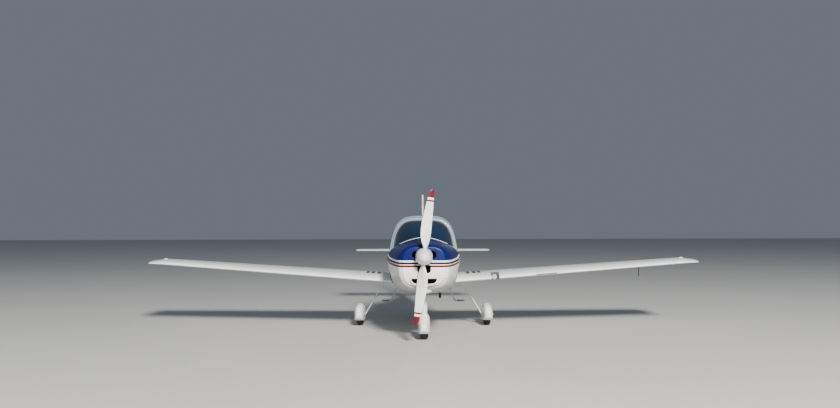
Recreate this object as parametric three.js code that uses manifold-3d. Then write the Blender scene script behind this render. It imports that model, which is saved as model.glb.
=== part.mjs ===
// A two-seat light aircraft with a low wing, a tricycle undercarriage and a sliding canopy.
// Millimetres, +Z up. The nose points to -Y and the port wing to +X. The origin is on the
// ground below the middle of the bounding box. Stations are counted aft from the spinner tip.
import * as THREE from 'three';
import Module from 'manifold-3d';

const wasm = await Module();
wasm.setup();

// Whole aircraft
const LENGTH = 6150;
const SEAT_GAP = 0.3;
const RUNNING_GAP = 6;

// Fuselage and cowl
const FIREWALL = 1050;
const FIREWALL_THICKNESS = 25;
const CABIN_REAR = 3150;
const CONE_FRONT = 3175;
const CONE_SKIN = 16;
const TAIL_END = 5640;
const CABIN_WALL = 36;
const PANEL_STATION = 1610;
const SILL_HEIGHT = 1080;
const COWL_SKIN = 14;
const COWL_SPLIT = 797;
const BODY_SIDES = 26;
const INLET_X = 106;
const INLET_RADIUS = 40;

// Windshield and canopy
const GLASS = 6;
const GREENHOUSE_BASE = 1000;
const BOW_FRONT = 1870;
const BOW_REAR = 1950;
const BOW_RADIAL = 62;
const CANOPY_GLASS_FRONT = 1982;
const CANOPY_GLASS_REAR = 2960;
const CANOPY_SKIRT_TOP = 1136;
const RAIL_X = 405;
const RAIL_FRONT = 1965;
const RAIL_REAR = 3120;
const SHOE_STATIONS = [2020, 2320];

// Propeller and spinner
const SHAFT_HEIGHT = 1062;
const PROPELLER_STATION = 170;
const PROPELLER_RADIUS = 818;
const PROPELLER_LEAN = 7.3;
const SPINNER_RADIUS = 108;
const SPINNER_LENGTH = 236;
const SPINNER_SKIN = 4;

// Undercarriage
const MAIN_TRACK = 1846;
const MAIN_AXLE_STATION = 2300;
const MAIN_TYRE_RADIUS = 148;
const MAIN_TYRE_WIDTH = 100;
const NOSE_AXLE_STATION = 750;
const NOSE_TYRE_RADIUS = 145;
const NOSE_TYRE_WIDTH = 112;
const STEER_STATION = 715;
const AXLE_RADIUS = 12;
const SPAT_WALL = 5;
const ENGINE_BASE = 830;
const EXHAUST_X = 206;
const EXHAUST_STATION = 850;
const BLISTER = { station: 462, height: 636, halfWidth: 108, halfLength: 180, halfHeight: 38 };

// Wing
const WING_SPAN = 7748;
const WING_ROOT = { x: 420, leading: 1600, chord: 1420, height: 677, thickness: 116 };
const WING_TIP = { x: 3690, leading: 1790, chord: 899, height: 922, thickness: 73 };
const WING_CAMBER = 0.02;
const FLAP_HINGE = 0.76;
const FLAP_INNER = 520;
const FLAP_OUTER = 2050;
const AILERON_OUTER = 3600;
const SEAL_WIDTH = 8;
const PIN_RADIUS = 4;
const BRACKETS = [0.08, 0.92];
const LAMP_X = 993;
const LAMP_RADIUS = 56;
const LAMP_STATION = 1850;
const PITOT_X = 3080;
const PITOT_DROP = 172;
// Columns: place along the span, share of the chord and of the thickness, drop
const WING_END = [
  [3759, 0.985, 0.79, 5],
  [3815, 0.965, 0.64, 9],
  [3850, 0.94, 0.54, 11],
  [WING_SPAN / 2, 0.9, 0.43, 13],
];

// Tail
const STABILIZER_SPAN = 2462;
const STABILIZER_HEIGHT = 1002;
const STABILIZER_THICKNESS = 52;
const ELEVATOR_HINGE = 5690;
const RUDDER_HINGE = 5775;
const FIN_BASE = 1062;
const FIN_TOP = 2030;

const finish = (color, roughness, metalness) => (name) => (
  new THREE.MeshStandardMaterial({ name, color, roughness, metalness })
);
const white = finish(0xf2f3f1, 0.25, 0);
const blue = finish(0x14268c, 0.2, 0);
const grey = finish(0x8d9197, 0.45, 0.6);
const dark = finish(0x1b1c1e, 0.7, 0);
const rubber = finish(0x161616, 0.9, 0);
const glass = finish(0x22303c, 0.05, 0);
const fabric = finish(0x3a3f48, 0.9, 0);

const at = (station) => station - LENGTH / 2;
const radians = (degrees) => degrees * Math.PI / 180;
const mix = (a, b, t) => a + (b - a) * t;

// Solids

function solidFrom(points, triangles) {
  const places = new Map();
  const kept = [];
  const indexOf = points.map((point) => {
    const key = point.map((value) => Math.round(value * 1000)).join();
    if (!places.has(key)) {
      places.set(key, kept.push(point) - 1);
    }
    return places.get(key);
  });
  const faces = triangles
    .map((face) => face.map((corner) => indexOf[corner]))
    .filter(([a, b, c]) => a !== b && b !== c && c !== a);
  const volume = faces.reduce((sum, [a, b, c]) => {
    const [p, q, r] = [kept[a], kept[b], kept[c]].map((point) => new THREE.Vector3(...point));
    return sum + p.dot(q.cross(r));
  }, 0);
  if (volume < 0) {
    faces.forEach((face) => face.reverse());
  }
  return new wasm.Manifold(new wasm.Mesh({
    numProp: 3,
    vertProperties: new Float32Array(kept.flat()),
    triVerts: new Uint32Array(faces.flat()),
  }));
}

function solidOf(geometry) {
  const position = geometry.getAttribute('position');
  const points = [];
  for (let i = 0; i < position.count; i += 1) {
    points.push([position.getX(i), position.getY(i), position.getZ(i)]);
  }
  const index = geometry.index ? Array.from(geometry.index.array) : points.map((_, i) => i);
  const triangles = [];
  for (let i = 0; i < index.length; i += 3) {
    triangles.push([index[i], index[i + 1], index[i + 2]]);
  }
  return solidFrom(points, triangles);
}

function remade(solid, change, flip = false) {
  const mesh = solid.getMesh();
  const points = [];
  for (let i = 0; i < mesh.vertProperties.length; i += mesh.numProp) {
    points.push(change(Array.from(mesh.vertProperties.slice(i, i + 3))));
  }
  const triangles = [];
  for (let i = 0; i < mesh.triVerts.length; i += 3) {
    const face = Array.from(mesh.triVerts.slice(i, i + 3));
    triangles.push(flip ? face.reverse() : face);
  }
  return solidFrom(points, triangles);
}

const mirrored = (solid) => remade(solid, ([x, y, z]) => [-x, y, z], true);

function loft(rings) {
  const count = rings[0].length;
  const points = rings.flat();
  const triangles = [];
  for (let i = 0; i + 1 < rings.length; i += 1) {
    for (let j = 0; j < count; j += 1) {
      const a = i * count + j;
      const b = i * count + (j + 1) % count;
      const starboard = points[a][0] + points[b][0] < 0;
      triangles.push(starboard ? [a, b, a + count] : [a, b, b + count]);
      triangles.push(starboard ? [b, b + count, a + count] : [a, b + count, a + count]);
    }
  }
  for (const end of [0, rings.length - 1]) {
    const middle = [0, 1, 2].map((k) => rings[end].reduce((sum, point) => sum + point[k], 0) / count);
    const centre = points.push(middle) - 1;
    for (let j = 0; j < count; j += 1) {
      const a = end * count + j;
      const b = end * count + (j + 1) % count;
      triangles.push(end === 0 ? [centre, b, a] : [centre, a, b]);
    }
  }
  return solidFrom(points, triangles);
}

function box(x, y, z) {
  const geometry = new THREE.BoxGeometry(x[1] - x[0], y[1] - y[0], z[1] - z[0]);
  geometry.translate((x[0] + x[1]) / 2, (y[0] + y[1]) / 2, (z[0] + z[1]) / 2);
  return solidOf(geometry);
}

function bar(from, to, radius, endRadius = radius, sides = 16) {
  const start = new THREE.Vector3(...from);
  const span = new THREE.Vector3(...to).sub(start);
  const geometry = new THREE.CylinderGeometry(endRadius, radius, span.length(), sides);
  geometry.translate(0, span.length() / 2, 0);
  const up = new THREE.Vector3(0, 1, 0);
  geometry.applyQuaternion(new THREE.Quaternion().setFromUnitVectors(up, span.normalize()));
  geometry.translate(...from);
  return solidOf(geometry);
}

// A profile of [radius, distance] pairs turned round the line through a point along an axis.
function turned(profile, point, axis, sides) {
  const geometry = new THREE.LatheGeometry(profile.map(([r, d]) => new THREE.Vector2(r, d)), sides);
  const up = new THREE.Vector3(0, 1, 0);
  geometry.applyQuaternion(new THREE.Quaternion().setFromUnitVectors(up, new THREE.Vector3(...axis)));
  geometry.translate(...point);
  return solidOf(geometry);
}

// A flat outline in X and Z, drawn through its points with curves where a control point is given,
// pushed along Y from one station to another.
function plate(draw, from, to, steps = 8) {
  const outline = new THREE.Shape();
  draw(outline);
  const depth = to - from;
  const geometry = new THREE.ExtrudeGeometry(outline, { depth, bevelEnabled: false, curveSegments: steps });
  geometry.rotateX(Math.PI / 2);
  geometry.translate(0, at(to), 0);
  return solidOf(geometry);
}

// A block in a frame of its own: along the line, ahead of it, and up from both.
function blockOn(origin, along, size, centre) {
  const t = new THREE.Vector3(...along).normalize();
  const forward = new THREE.Vector3(0, -1, 0);
  const up = new THREE.Vector3().crossVectors(t, forward).normalize();
  const ahead = new THREE.Vector3().crossVectors(up, t);
  const geometry = new THREE.BoxGeometry(...size);
  geometry.translate(...centre);
  geometry.applyMatrix4(new THREE.Matrix4().makeBasis(t, ahead, up).setPosition(...origin));
  return solidOf(geometry);
}

const acrossSide = (side, near, far) => (side === 1 ? [near, far] : [-far, -near]);

const joined = (...solids) => solids.reduce((sum, solid) => sum.add(solid));

// A table's row at a place between its rows, smooth from row to row.
function rowAt(table, place) {
  const last = table.length - 2;
  let i = 0;
  while (i < last && table[i + 1][0] < place) {
    i += 1;
  }
  const [p, q] = [table[i], table[i + 1]];
  const before = table[Math.max(i - 1, 0)];
  const after = table[Math.min(i + 2, table.length - 1)];
  const t = (place - p[0]) / (q[0] - p[0]);
  return p.map((value, k) => {
    const pull = (q[k] - before[k]) / (q[0] - before[0]) * (q[0] - p[0]);
    const push = (after[k] - value) / (after[0] - p[0]) * (q[0] - p[0]);
    const cubic = 2 * value - 2 * q[k] + pull + push;
    const square = 3 * q[k] - 3 * value - 2 * pull - push;
    return k === 0 ? place : ((cubic * t + square) * t + pull) * t + value;
  });
}

const power = (value, exponent) => Math.sign(value) * Math.abs(value) ** exponent;

// Fuselage and cowl, one smooth body
// Columns: station, belly, waist and top height, half width, roundness above and below the waist,
// and the share of the width lost from the waist to the belly
const BODY = [
  [280, 690, 940, 1190, 272, 3.4, 3.2, 0.04],
  [330, 662, 940, 1204, 308, 3.0, 3.3, 0.05],
  [450, 628, 945, 1222, 350, 2.5, 3.6, 0.08],
  [700, 590, 955, 1243, 405, 2.0, 4.6, 0.13],
  [1050, 568, 968, 1262, 460, 1.75, 6, 0.17],
  [1450, 558, 976, 1280, 494, 1.68, 7, 0.19],
  [1700, 556, 979, 1284, 511, 1.76, 7, 0.19],
  [1900, 555, 980, 1284, 516, 1.84, 7, 0.19],
  [2400, 558, 982, 1274, 508, 2.1, 7, 0.19],
  [3000, 578, 982, 1242, 455, 2.1, 5, 0.16],
  [3480, 608, 976, 1210, 395, 2.0, 3.5, 0.1],
  [4400, 700, 965, 1132, 240, 2.0, 2.3, 0.03],
  [5200, 800, 958, 1070, 118, 2.0, 2.0, 0],
  [5640, 858, 956, 1044, 58, 2.0, 2.0, 0],
];

function bodyRing(station, grow = 0) {
  const [, belly, waist, top, halfWidth, above, below, taper] = rowAt(BODY, station);
  const ring = [];
  for (let i = 0; i < BODY_SIDES; i += 1) {
    const angle = 2 * Math.PI * i / BODY_SIDES;
    const [c, s] = [Math.cos(angle), Math.sin(angle)];
    const roundness = s > 0 ? above : below;
    const rise = s > 0 ? top - waist + grow : waist - belly + grow;
    const share = power(s, 2 / roundness);
    const narrower = 1 - taper * Math.max(-share, 0);
    const out = (halfWidth + grow) * narrower * power(c, 2 / roundness);
    ring.push([out, at(station), waist + rise * share]);
  }
  return ring;
}

const bodyLoft = (stations, grow = 0) => loft(stations.map((station) => bodyRing(station, grow)));

const COWL_STATIONS = [280, 300, 350, 450, 600, 800, 1050];
const REAR_STATIONS = [1050, 1450, 1700, 1900, 2200, 2600, 3000, 3480, 4000, 4600, 5200, 5640];
const BODY_STATIONS = [...COWL_STATIONS, ...REAR_STATIONS.slice(1)];
const bodyGrownBy = (grow) => bodyLoft(BODY_STATIONS, grow);

// Windshield and canopy sections, each half a superellipse standing on the greenhouse base
// Columns: station, half width, height above the base, roundness, share of the width lost upwards
const WINDSHIELD = [
  [1425, 20, 262, 2.4, 0.1],
  [1450, 152, 286, 2.6, 0.1],
  [1520, 268, 334, 2.9, 0.12],
  [1620, 350, 392, 3.3, 0.14],
  [1740, 409, 450, 3.6, 0.16],
  [1870, 449, 503, 3.9, 0.17],
  [1960, 466, 530, 4.0, 0.17],
];
const CANOPY = [
  [1950, 500, 572, 4.0, 0.17],
  [2100, 504, 590, 3.9, 0.17],
  [2300, 505, 597, 3.7, 0.16],
  [2600, 494, 566, 3.3, 0.13],
  [2960, 462, 462, 2.7, 0.07],
  [3240, 424, 326, 2.3, 0.03],
  [3480, 388, 229, 2.0, 0],
];
const BOW_OUTER = [0, 500, 567, 4.0, 0.17];
const ARCH_STEPS = 16;

function archRing([, halfWidth, height, roundness, lean], stationAt, shrink = 0) {
  const ring = [];
  for (let i = 0; i <= ARCH_STEPS; i += 1) {
    const angle = Math.PI * i / ARCH_STEPS;
    const share = power(Math.sin(angle), 2 / roundness);
    const x = Math.max(halfWidth - shrink, 2) * (1 - lean * share) * power(Math.cos(angle), 2 / roundness);
    const z = GREENHOUSE_BASE + Math.max(height - shrink, 2) * share;
    ring.push([x, at(stationAt(z)), z]);
  }
  return ring;
}

function archLoft(table, stations, shrink = 0) {
  return loft(stations.map((station) => archRing(rowAt(table, station), () => station, shrink)));
}

// The bow leans back: its foot is further forward than its crest.
const BOW_LEAN = 0.12;
const bowStation = (station) => (z) => station + BOW_LEAN * (z - SILL_HEIGHT);
const bowSlab = (front, rear) => loft([
  archRing([0, 620, 700, 8, 0], bowStation(front)),
  archRing([0, 620, 700, 8, 0], bowStation(rear)),
]);

const WINDSHIELD_STATIONS = [1430, 1455, 1500, 1570, 1660, 1760, 1870, 1960];
const CANOPY_STATIONS = [1950, 2120, 2360, 2660, 2960, 3220, 3480];

const floorUnder = (height, from, to) => box([-700, 700], [at(from), at(to)], [300, height]);

function makeBow() {
  const outside = loft([
    archRing(BOW_OUTER, bowStation(BOW_FRONT + 14), 10),
    archRing(BOW_OUTER, bowStation(BOW_FRONT + 30)),
    archRing(BOW_OUTER, bowStation(BOW_REAR - 12)),
    archRing(BOW_OUTER, bowStation(BOW_REAR), 6),
  ]);
  const inside = loft([
    archRing(BOW_OUTER, bowStation(BOW_FRONT - 60), BOW_RADIAL),
    archRing(BOW_OUTER, bowStation(BOW_REAR + 60), BOW_RADIAL),
  ]);
  return outside.subtract(inside).subtract(floorUnder(SILL_HEIGHT + SEAT_GAP, 1700, 2200));
}

function makeWindshield() {
  const inside = archLoft(WINDSHIELD, WINDSHIELD_STATIONS.map((station) => station + GLASS * 0.6), GLASS);
  return archLoft(WINDSHIELD, WINDSHIELD_STATIONS)
    .subtract(inside)
    .subtract(bodyGrownBy(-12))
    .subtract(bowSlab(BOW_FRONT + 13.7, 2600))
    .subtract(box([-700, 700], [at(1955), at(2400)], [900, 1800]));
}

// The canopy's inner surface, a given depth below its outer one ahead of, at and behind the glass's end
function canopyInner(ahead, end, behind) {
  const ring = (station, place, shrink) => archRing(rowAt(CANOPY, station), () => place, shrink);
  return loft([
    ring(1950, 1900, ahead),
    ...CANOPY_STATIONS.slice(1, 4).map((station) => ring(station, station, ahead)),
    ring(2960, 2960, end),
    ring(3220, 3220, behind),
    ring(3480, 3520, behind + 2),
  ]);
}

const canopyPart = (front, rear, height) => bowSlab(front, rear).subtract(floorUnder(height, 1700, 4000));

// The glass sits in a rebate of its frame, with a seat gap on every side.
function makeCanopyGlass() {
  const shell = archLoft(CANOPY, CANOPY_STATIONS)
    .subtract(canopyInner(GLASS - SEAT_GAP, GLASS - SEAT_GAP, GLASS - SEAT_GAP));
  return shell.intersect(canopyPart(CANOPY_GLASS_FRONT, CANOPY_GLASS_REAR, CANOPY_SKIRT_TOP));
}

function makeCanopyFrame() {
  const [front, rear] = [CANOPY_GLASS_FRONT - SEAT_GAP, CANOPY_GLASS_REAR + SEAT_GAP];
  const rebate = archLoft(CANOPY, CANOPY_STATIONS, -20)
    .subtract(canopyInner(GLASS, GLASS, GLASS))
    .intersect(canopyPart(front, rear, CANOPY_SKIRT_TOP - SEAT_GAP));
  const opening = canopyPart(BOW_REAR + 58, CANOPY_GLASS_REAR - 30, CANOPY_SKIRT_TOP + 16);
  const shoes = [-1, 1].flatMap((side) => SHOE_STATIONS.map((station) => box(
    acrossSide(side, RAIL_X - 9, 476),
    [at(station - 30), at(station + 30)],
    [SILL_HEIGHT + RUNNING_GAP, SILL_HEIGHT + 26],
  )));
  const hoops = archLoft(CANOPY, CANOPY_STATIONS)
    .subtract(canopyInner(26, 20, GLASS + 2))
    .subtract(opening)
    .subtract(rebate)
    .intersect(canopyPart(BOW_REAR + RUNNING_GAP, 4600, SILL_HEIGHT + RUNNING_GAP));
  const deckRoom = bodyLoft(REAR_STATIONS, RUNNING_GAP)
    .intersect(box([-500, 500], [at(3100), at(5000)], [1000, 1400]));
  return joined(hoops, ...shoes).subtract(deckRoom).decompose()
    .reduce((best, solid) => (solid.volume() > best.volume() ? solid : best));
}

const INNER_STATIONS = [FIREWALL + FIREWALL_THICKNESS, 1450, 1700, 1900, 2200, 2600, 3000, CABIN_REAR];

// The cabin, open above the sill and under the windshield, closed by a firewall and a rear bulkhead
function makeFuselage() {
  const outside = bodyLoft(REAR_STATIONS).subtract(box([-700, 700], [at(CONE_FRONT), at(6000)], [300, 1500]));
  const inside = bodyLoft(INNER_STATIONS, -CABIN_WALL);
  const canopyMouth = bowSlab(BOW_FRONT + 13.7, 3400)
    .intersect(box([-700, 700], [at(1700), at(CABIN_REAR)], [SILL_HEIGHT, 1500]));
  const shieldMouth = archLoft(WINDSHIELD, WINDSHIELD_STATIONS, -SEAT_GAP);
  const rails = [-1, 1].map((side) => {
    const along = [at(RAIL_FRONT), at(RAIL_REAR)];
    const shelf = box(acrossSide(side, RAIL_X - 10, 500), along, [SILL_HEIGHT - 18, SILL_HEIGHT])
      .intersect(bodyLoft(REAR_STATIONS, -2));
    const ridge = box(acrossSide(side, RAIL_X - 5, RAIL_X + 5), along,
      [SILL_HEIGHT - 1, SILL_HEIGHT + RUNNING_GAP - SEAT_GAP]);
    return shelf.add(ridge);
  });
  return joined(outside.subtract(inside).subtract(canopyMouth).subtract(shieldMouth), ...rails);
}

// The tail cone is a shell with an open front end and a slot for the stabilizer
function makeTailCone() {
  const inner = [3150, 3480, 4000, 4600, 5200].map((station) => bodyRing(station, -CONE_SKIN));
  return bodyLoft(REAR_STATIONS)
    .subtract(box([-700, 700], [at(900), at(CONE_FRONT + SEAT_GAP)], [300, 1500]))
    .subtract(loft(inner))
    .subtract(wholeStabilizer(SEAT_GAP));
}

function makeCowls() {
  const outside = bodyLoft([...COWL_STATIONS.slice(0, -1), FIREWALL - SEAT_GAP]);
  const inside = loft([296, 350, 450, 600, 800].map((s) => bodyRing(s, -COWL_SKIN))
    .concat([bodyRing(1049, -COWL_SKIN).map(([x, , z]) => [x, at(1070), z])]));
  const [holeFront, holeRear] = [at(240), at(380)];
  const shaftHole = bar([0, holeFront, SHAFT_HEIGHT], [0, holeRear, SHAFT_HEIGHT], 78, 78, 24);
  const oilInlet = joined(
    box([-83, 83], [holeFront, holeRear], [898, 952]),
    box([-45, 45], [holeFront, holeRear], [860, 952]),
    bar([-45, holeFront, 898], [-45, holeRear, 898], 38, 38, 20),
    bar([45, holeFront, 898], [45, holeRear, 898], 38, 38, 20),
  );
  const sideInlets = [-1, 1].map((side) => joined(
    bar([side * INLET_X, holeFront, 1090], [side * INLET_X, holeRear, 1090], INLET_RADIUS),
    bar([side * INLET_X, holeFront, 1074], [side * INLET_X, holeRear, 1074], INLET_RADIUS),
    box([side * INLET_X - INLET_RADIUS, side * INLET_X + INLET_RADIUS], [holeFront, holeRear], [1074, 1090]),
  ));
  const mouth = plate((outline) => {
    outline.moveTo(-154, 793).lineTo(154, 793).quadraticCurveTo(153, 742, 96, 734);
    outline.quadraticCurveTo(0, 724, -96, 734).quadraticCurveTo(-153, 742, -154, 793);
  }, 240, 380);
  const lip = plate((outline) => {
    outline.moveTo(154, 793).quadraticCurveTo(153, 742, 96, 734).quadraticCurveTo(0, 724, -96, 734);
    outline.quadraticCurveTo(-153, 742, -154, 793).lineTo(-168, 786);
    outline.quadraticCurveTo(-166, 720, -100, 709).quadraticCurveTo(0, 698, 100, 709);
    outline.quadraticCurveTo(166, 720, 168, 786);
  }, 258, 290);
  const legHole = bar([0, at(STEER_STATION), 500], [0, at(STEER_STATION), 700], 32, 32, 20);
  const exhaustHole = bar([EXHAUST_X, at(EXHAUST_STATION), 480], [EXHAUST_X, at(EXHAUST_STATION), 700], 24);
  const shell = outside.subtract(inside);
  const openings = joined(shaftHole, oilInlet, ...sideInlets, mouth, legHole, exhaustHole);
  const above = box([-700, 700], [at(200), at(1100)], [COWL_SPLIT + SEAT_GAP, 1500]);
  const below = box([-700, 700], [at(200), at(1100)], [300, COWL_SPLIT]);
  return {
    upper: shell.intersect(above).subtract(openings),
    lower: shell.add(lip).subtract(openings).intersect(below),
  };
}

const behindFirewall = () => box([-600, 600], [at(FIREWALL - SEAT_GAP), at(FIREWALL + 200)], [500, 1300]);

function makeEngine() {
  const mountTubes = [-1, 1].flatMap((side) => [870, 1060].map((height) => bar(
    [side * 150, at(900), height], [side * 230, at(FIREWALL + 6), height], 11, 11, 10,
  )));
  return joined(
    box([-210, 210], [at(440), at(920)], [ENGINE_BASE, 1120]),
    bar([0, at(SPINNER_LENGTH + 6 + SEAT_GAP), SHAFT_HEIGHT], [0, at(450), SHAFT_HEIGHT], 46, 60, 20),
    ...mountTubes,
  ).subtract(behindFirewall());
}

const makeExhaust = () => bar([EXHAUST_X, at(EXHAUST_STATION), 512],
  [EXHAUST_X, at(EXHAUST_STATION), ENGINE_BASE - SEAT_GAP], 16.5, 16.5, 12);

function makeChinBlister(cowlOutside) {
  const rings = [-0.98, -0.85, -0.6, -0.2, 0.2, 0.6, 0.85, 0.98].map((t) => {
    const size = Math.sqrt(1 - t * t);
    return Array.from({ length: 20 }, (_, i) => {
      const angle = 2 * Math.PI * i / 20;
      return [BLISTER.halfWidth * size * Math.cos(angle), at(BLISTER.station + BLISTER.halfLength * t),
        BLISTER.height + BLISTER.halfHeight * size * Math.sin(angle)];
    });
  });
  const legHole = bar([0, at(STEER_STATION), 500], [0, at(STEER_STATION), 700], 32, 32, 20);
  return loft(rings).subtract(cowlOutside).subtract(legHole);
}

// Propeller
// Columns: radius, chord, thickness, blade angle, place of the trailing edge
const BLADE = [
  [30, 48, 40, 48, 20],
  [108, 58, 38, 44, 22],
  [170, 108, 28, 39, 36],
  [250, 142, 21, 34, 46],
  [390, 138, 16, 26, 44],
  [520, 114, 13, 21, 39],
  [655, 88, 10, 17, 32],
  [750, 68, 8, 15, 26],
  [800, 46, 6, 14, 20],
  [PROPELLER_RADIUS, 16, 4, 13, 10],
];

function makePropeller() {
  const rings = BLADE.map(([radius, chord, thickness, angle, trailing]) => {
    const [c, s] = [Math.cos(radians(angle)), Math.sin(radians(angle))];
    return Array.from({ length: 10 }, (_, i) => {
      const turn = 2 * Math.PI * i / 10;
      const along = chord / 2 * Math.cos(turn) - chord / 2;
      const out = thickness / 2 * Math.sin(turn) * (1 - 0.45 * Math.cos(turn));
      const back = (along + chord / 2) * s + out * c;
      return [trailing + along * c - out * s, at(PROPELLER_STATION) + back, radius];
    });
  });
  const blade = loft(rings);
  const hub = bar([0, at(118), 0], [0, at(SPINNER_LENGTH), 0], 46, 46, 20);
  const lean = radians(PROPELLER_LEAN);
  const placed = (turn) => ([x, y, z]) => [
    x * Math.cos(turn) + z * Math.sin(turn), y, SHAFT_HEIGHT + z * Math.cos(turn) - x * Math.sin(turn)];
  return joined(
    remade(hub, placed(lean)),
    remade(blade, placed(lean)),
    remade(blade, placed(lean + Math.PI)),
  );
}

function makeSpinner() {
  const profile = (radius, nose) => {
    const points = [];
    for (let i = 0; i <= 6; i += 1) {
      const angle = Math.PI / 2 * i / 6;
      const distance = SPINNER_LENGTH - (SPINNER_LENGTH - nose) * Math.cos(angle);
      points.push([radius * Math.sin(angle) ** 0.9, distance]);
    }
    return points;
  };
  const tip = [0, at(0), SHAFT_HEIGHT];
  const inner = SPINNER_RADIUS - SPINNER_SKIN;
  const outside = turned([...profile(SPINNER_RADIUS, 0), [0, SPINNER_LENGTH]], tip, [0, 1, 0], 20);
  const inside = turned([
    ...profile(inner, SPINNER_SKIN), [inner, SPINNER_LENGTH + 5], [0, SPINNER_LENGTH + 5],
  ], tip, [0, 1, 0], 20);
  const lean = radians(PROPELLER_LEAN);
  const reach = (side) => [side * 130 * Math.sin(lean), at(PROPELLER_STATION),
    SHAFT_HEIGHT + side * 130 * Math.cos(lean)];
  return outside.subtract(inside).subtract(bar(reach(-1), reach(1), 37, 37, 20));
}

const makeBackplate = () => bar([0, at(SPINNER_LENGTH + SEAT_GAP), SHAFT_HEIGHT],
  [0, at(SPINNER_LENGTH + 6), SHAFT_HEIGHT], SPINNER_RADIUS, SPINNER_RADIUS, 20);

// Undercarriage
// Columns: place behind the axle, half width, lowest and highest point
const MAIN_SPAT = [
  [-330, 14, 158, 196],
  [-312, 40, 130, 230],
  [-240, 64, 96, 282],
  [-130, 73, 80, 308],
  [0, 75, 76, 316],
  [130, 72, 81, 307],
  [260, 56, 102, 270],
  [370, 28, 140, 220],
  [420, 5, 170, 188],
];
const NOSE_SPAT = [
  [-265, 14, 148, 180],
  [-248, 38, 118, 208],
  [-180, 62, 88, 256],
  [-80, 75, 78, 314],
  [20, 77, 77, 326],
  [120, 71, 83, 318],
  [220, 48, 114, 276],
  [310, 18, 160, 220],
  [335, 4, 177, 198],
];
// The sections of a spat: height share of the widest place, roundness above and below it
const MAIN_SECTION = { waist: 0.3, above: 2.8, below: 9 };
const NOSE_SECTION = { waist: 0.42, above: 3, below: 9 };

function spatShell(table, section, centreX, axleStation, tyreRadius, tyreWidth) {
  const ring = ([place, halfWidth, low, high], shrink) => Array.from({ length: 16 }, (_, i) => {
    const [c, s] = [Math.cos(2 * Math.PI * i / 16), Math.sin(2 * Math.PI * i / 16)];
    const waist = mix(low, high, section.waist);
    const rise = s > 0 ? high - waist : waist - low;
    const roundness = s > 0 ? section.above : section.below;
    return [
      centreX + Math.max(halfWidth - shrink, 1) * power(c, 2 / roundness),
      at(axleStation + place + (place < 0 ? shrink : -shrink)),
      waist + Math.max(rise - shrink, 1) * power(s, 2 / roundness),
    ];
  });
  const outside = (grow) => loft(table.map((row) => ring(row, -grow)));
  const inside = loft(table.slice(1, -1).map((row) => ring(row, SPAT_WALL)));
  const slot = box([centreX - tyreWidth / 2 - 12, centreX + tyreWidth / 2 + 12],
    [at(axleStation - tyreRadius + 5), at(axleStation + tyreRadius - 5)], [0, 130]);
  const hollow = loft(table.slice(1, -1).map((row) => ring(row, SPAT_WALL + SEAT_GAP)));
  return { shell: outside(0).subtract(inside).subtract(slot), hollow, room: outside(SEAT_GAP) };
}

function wheelAndTyre(centreX, station, radius, width) {
  const half = width / 2;
  const rim = radius * 0.54;
  const centre = [centreX, at(station), radius];
  const tyre = turned([
    [rim, -half * 0.72], [radius * 0.76, -half], [radius * 0.95, -half * 0.72], [radius, -half * 0.2],
    [radius, half * 0.2], [radius * 0.95, half * 0.72], [radius * 0.76, half],
    [rim, half * 0.72], [rim, -half * 0.72],
  ], centre, [1, 0, 0], 22);
  const wheel = turned([
    [AXLE_RADIUS + 1, -half * 0.8], [AXLE_RADIUS + 16, -half * 0.8], [rim * 0.8, -half * 0.3],
    [rim - 0.6, -half * 0.68], [rim - 0.6, half * 0.68], [rim * 0.8, half * 0.3],
    [AXLE_RADIUS + 16, half * 0.8], [AXLE_RADIUS + 1, half * 0.8], [AXLE_RADIUS + 1, -half * 0.8],
  ], centre, [1, 0, 0], 22);
  return { tyre, wheel };
}

function strut(top, bottom, thickness, chord, grow = 0) {
  const length = Math.hypot(bottom[0] - top[0], bottom[2] - top[2]);
  const across = [(top[2] - bottom[2]) / length, (bottom[0] - top[0]) / length];
  const ring = ([x, y, z], scale) => Array.from({ length: 16 }, (_, i) => {
    const angle = 2 * Math.PI * i / 16;
    const out = (thickness * scale / 2 + grow) * Math.cos(angle);
    return [x + out * across[0], y + (chord * scale / 2 + grow) * Math.sin(angle), z + out * across[1]];
  });
  return loft([ring(top, 1), ring(bottom, 0.82)]);
}

function makeMainGear(wingRoom, bodyRoom) {
  const x = MAIN_TRACK / 2;
  const axleY = at(MAIN_AXLE_STATION);
  const top = [552, axleY - 58, 655];
  const bottom = [852, axleY, MAIN_TYRE_RADIUS];
  const axle = (grow) => bar([846 - grow, axleY, MAIN_TYRE_RADIUS],
    [x + 91 + grow, axleY, MAIN_TYRE_RADIUS], AXLE_RADIUS + grow, AXLE_RADIUS + grow, 20);
  const leg = joined(strut(top, bottom, 26, 96), axle(0)).subtract(wingRoom).subtract(bodyRoom);
  const spat = spatShell(MAIN_SPAT, MAIN_SECTION, x, MAIN_AXLE_STATION, MAIN_TYRE_RADIUS,
    MAIN_TYRE_WIDTH).shell.subtract(strut(top, bottom, 26, 96, SEAT_GAP)).subtract(axle(SEAT_GAP));
  return { leg, spat, ...wheelAndTyre(x, MAIN_AXLE_STATION, MAIN_TYRE_RADIUS, MAIN_TYRE_WIDTH) };
}

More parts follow.
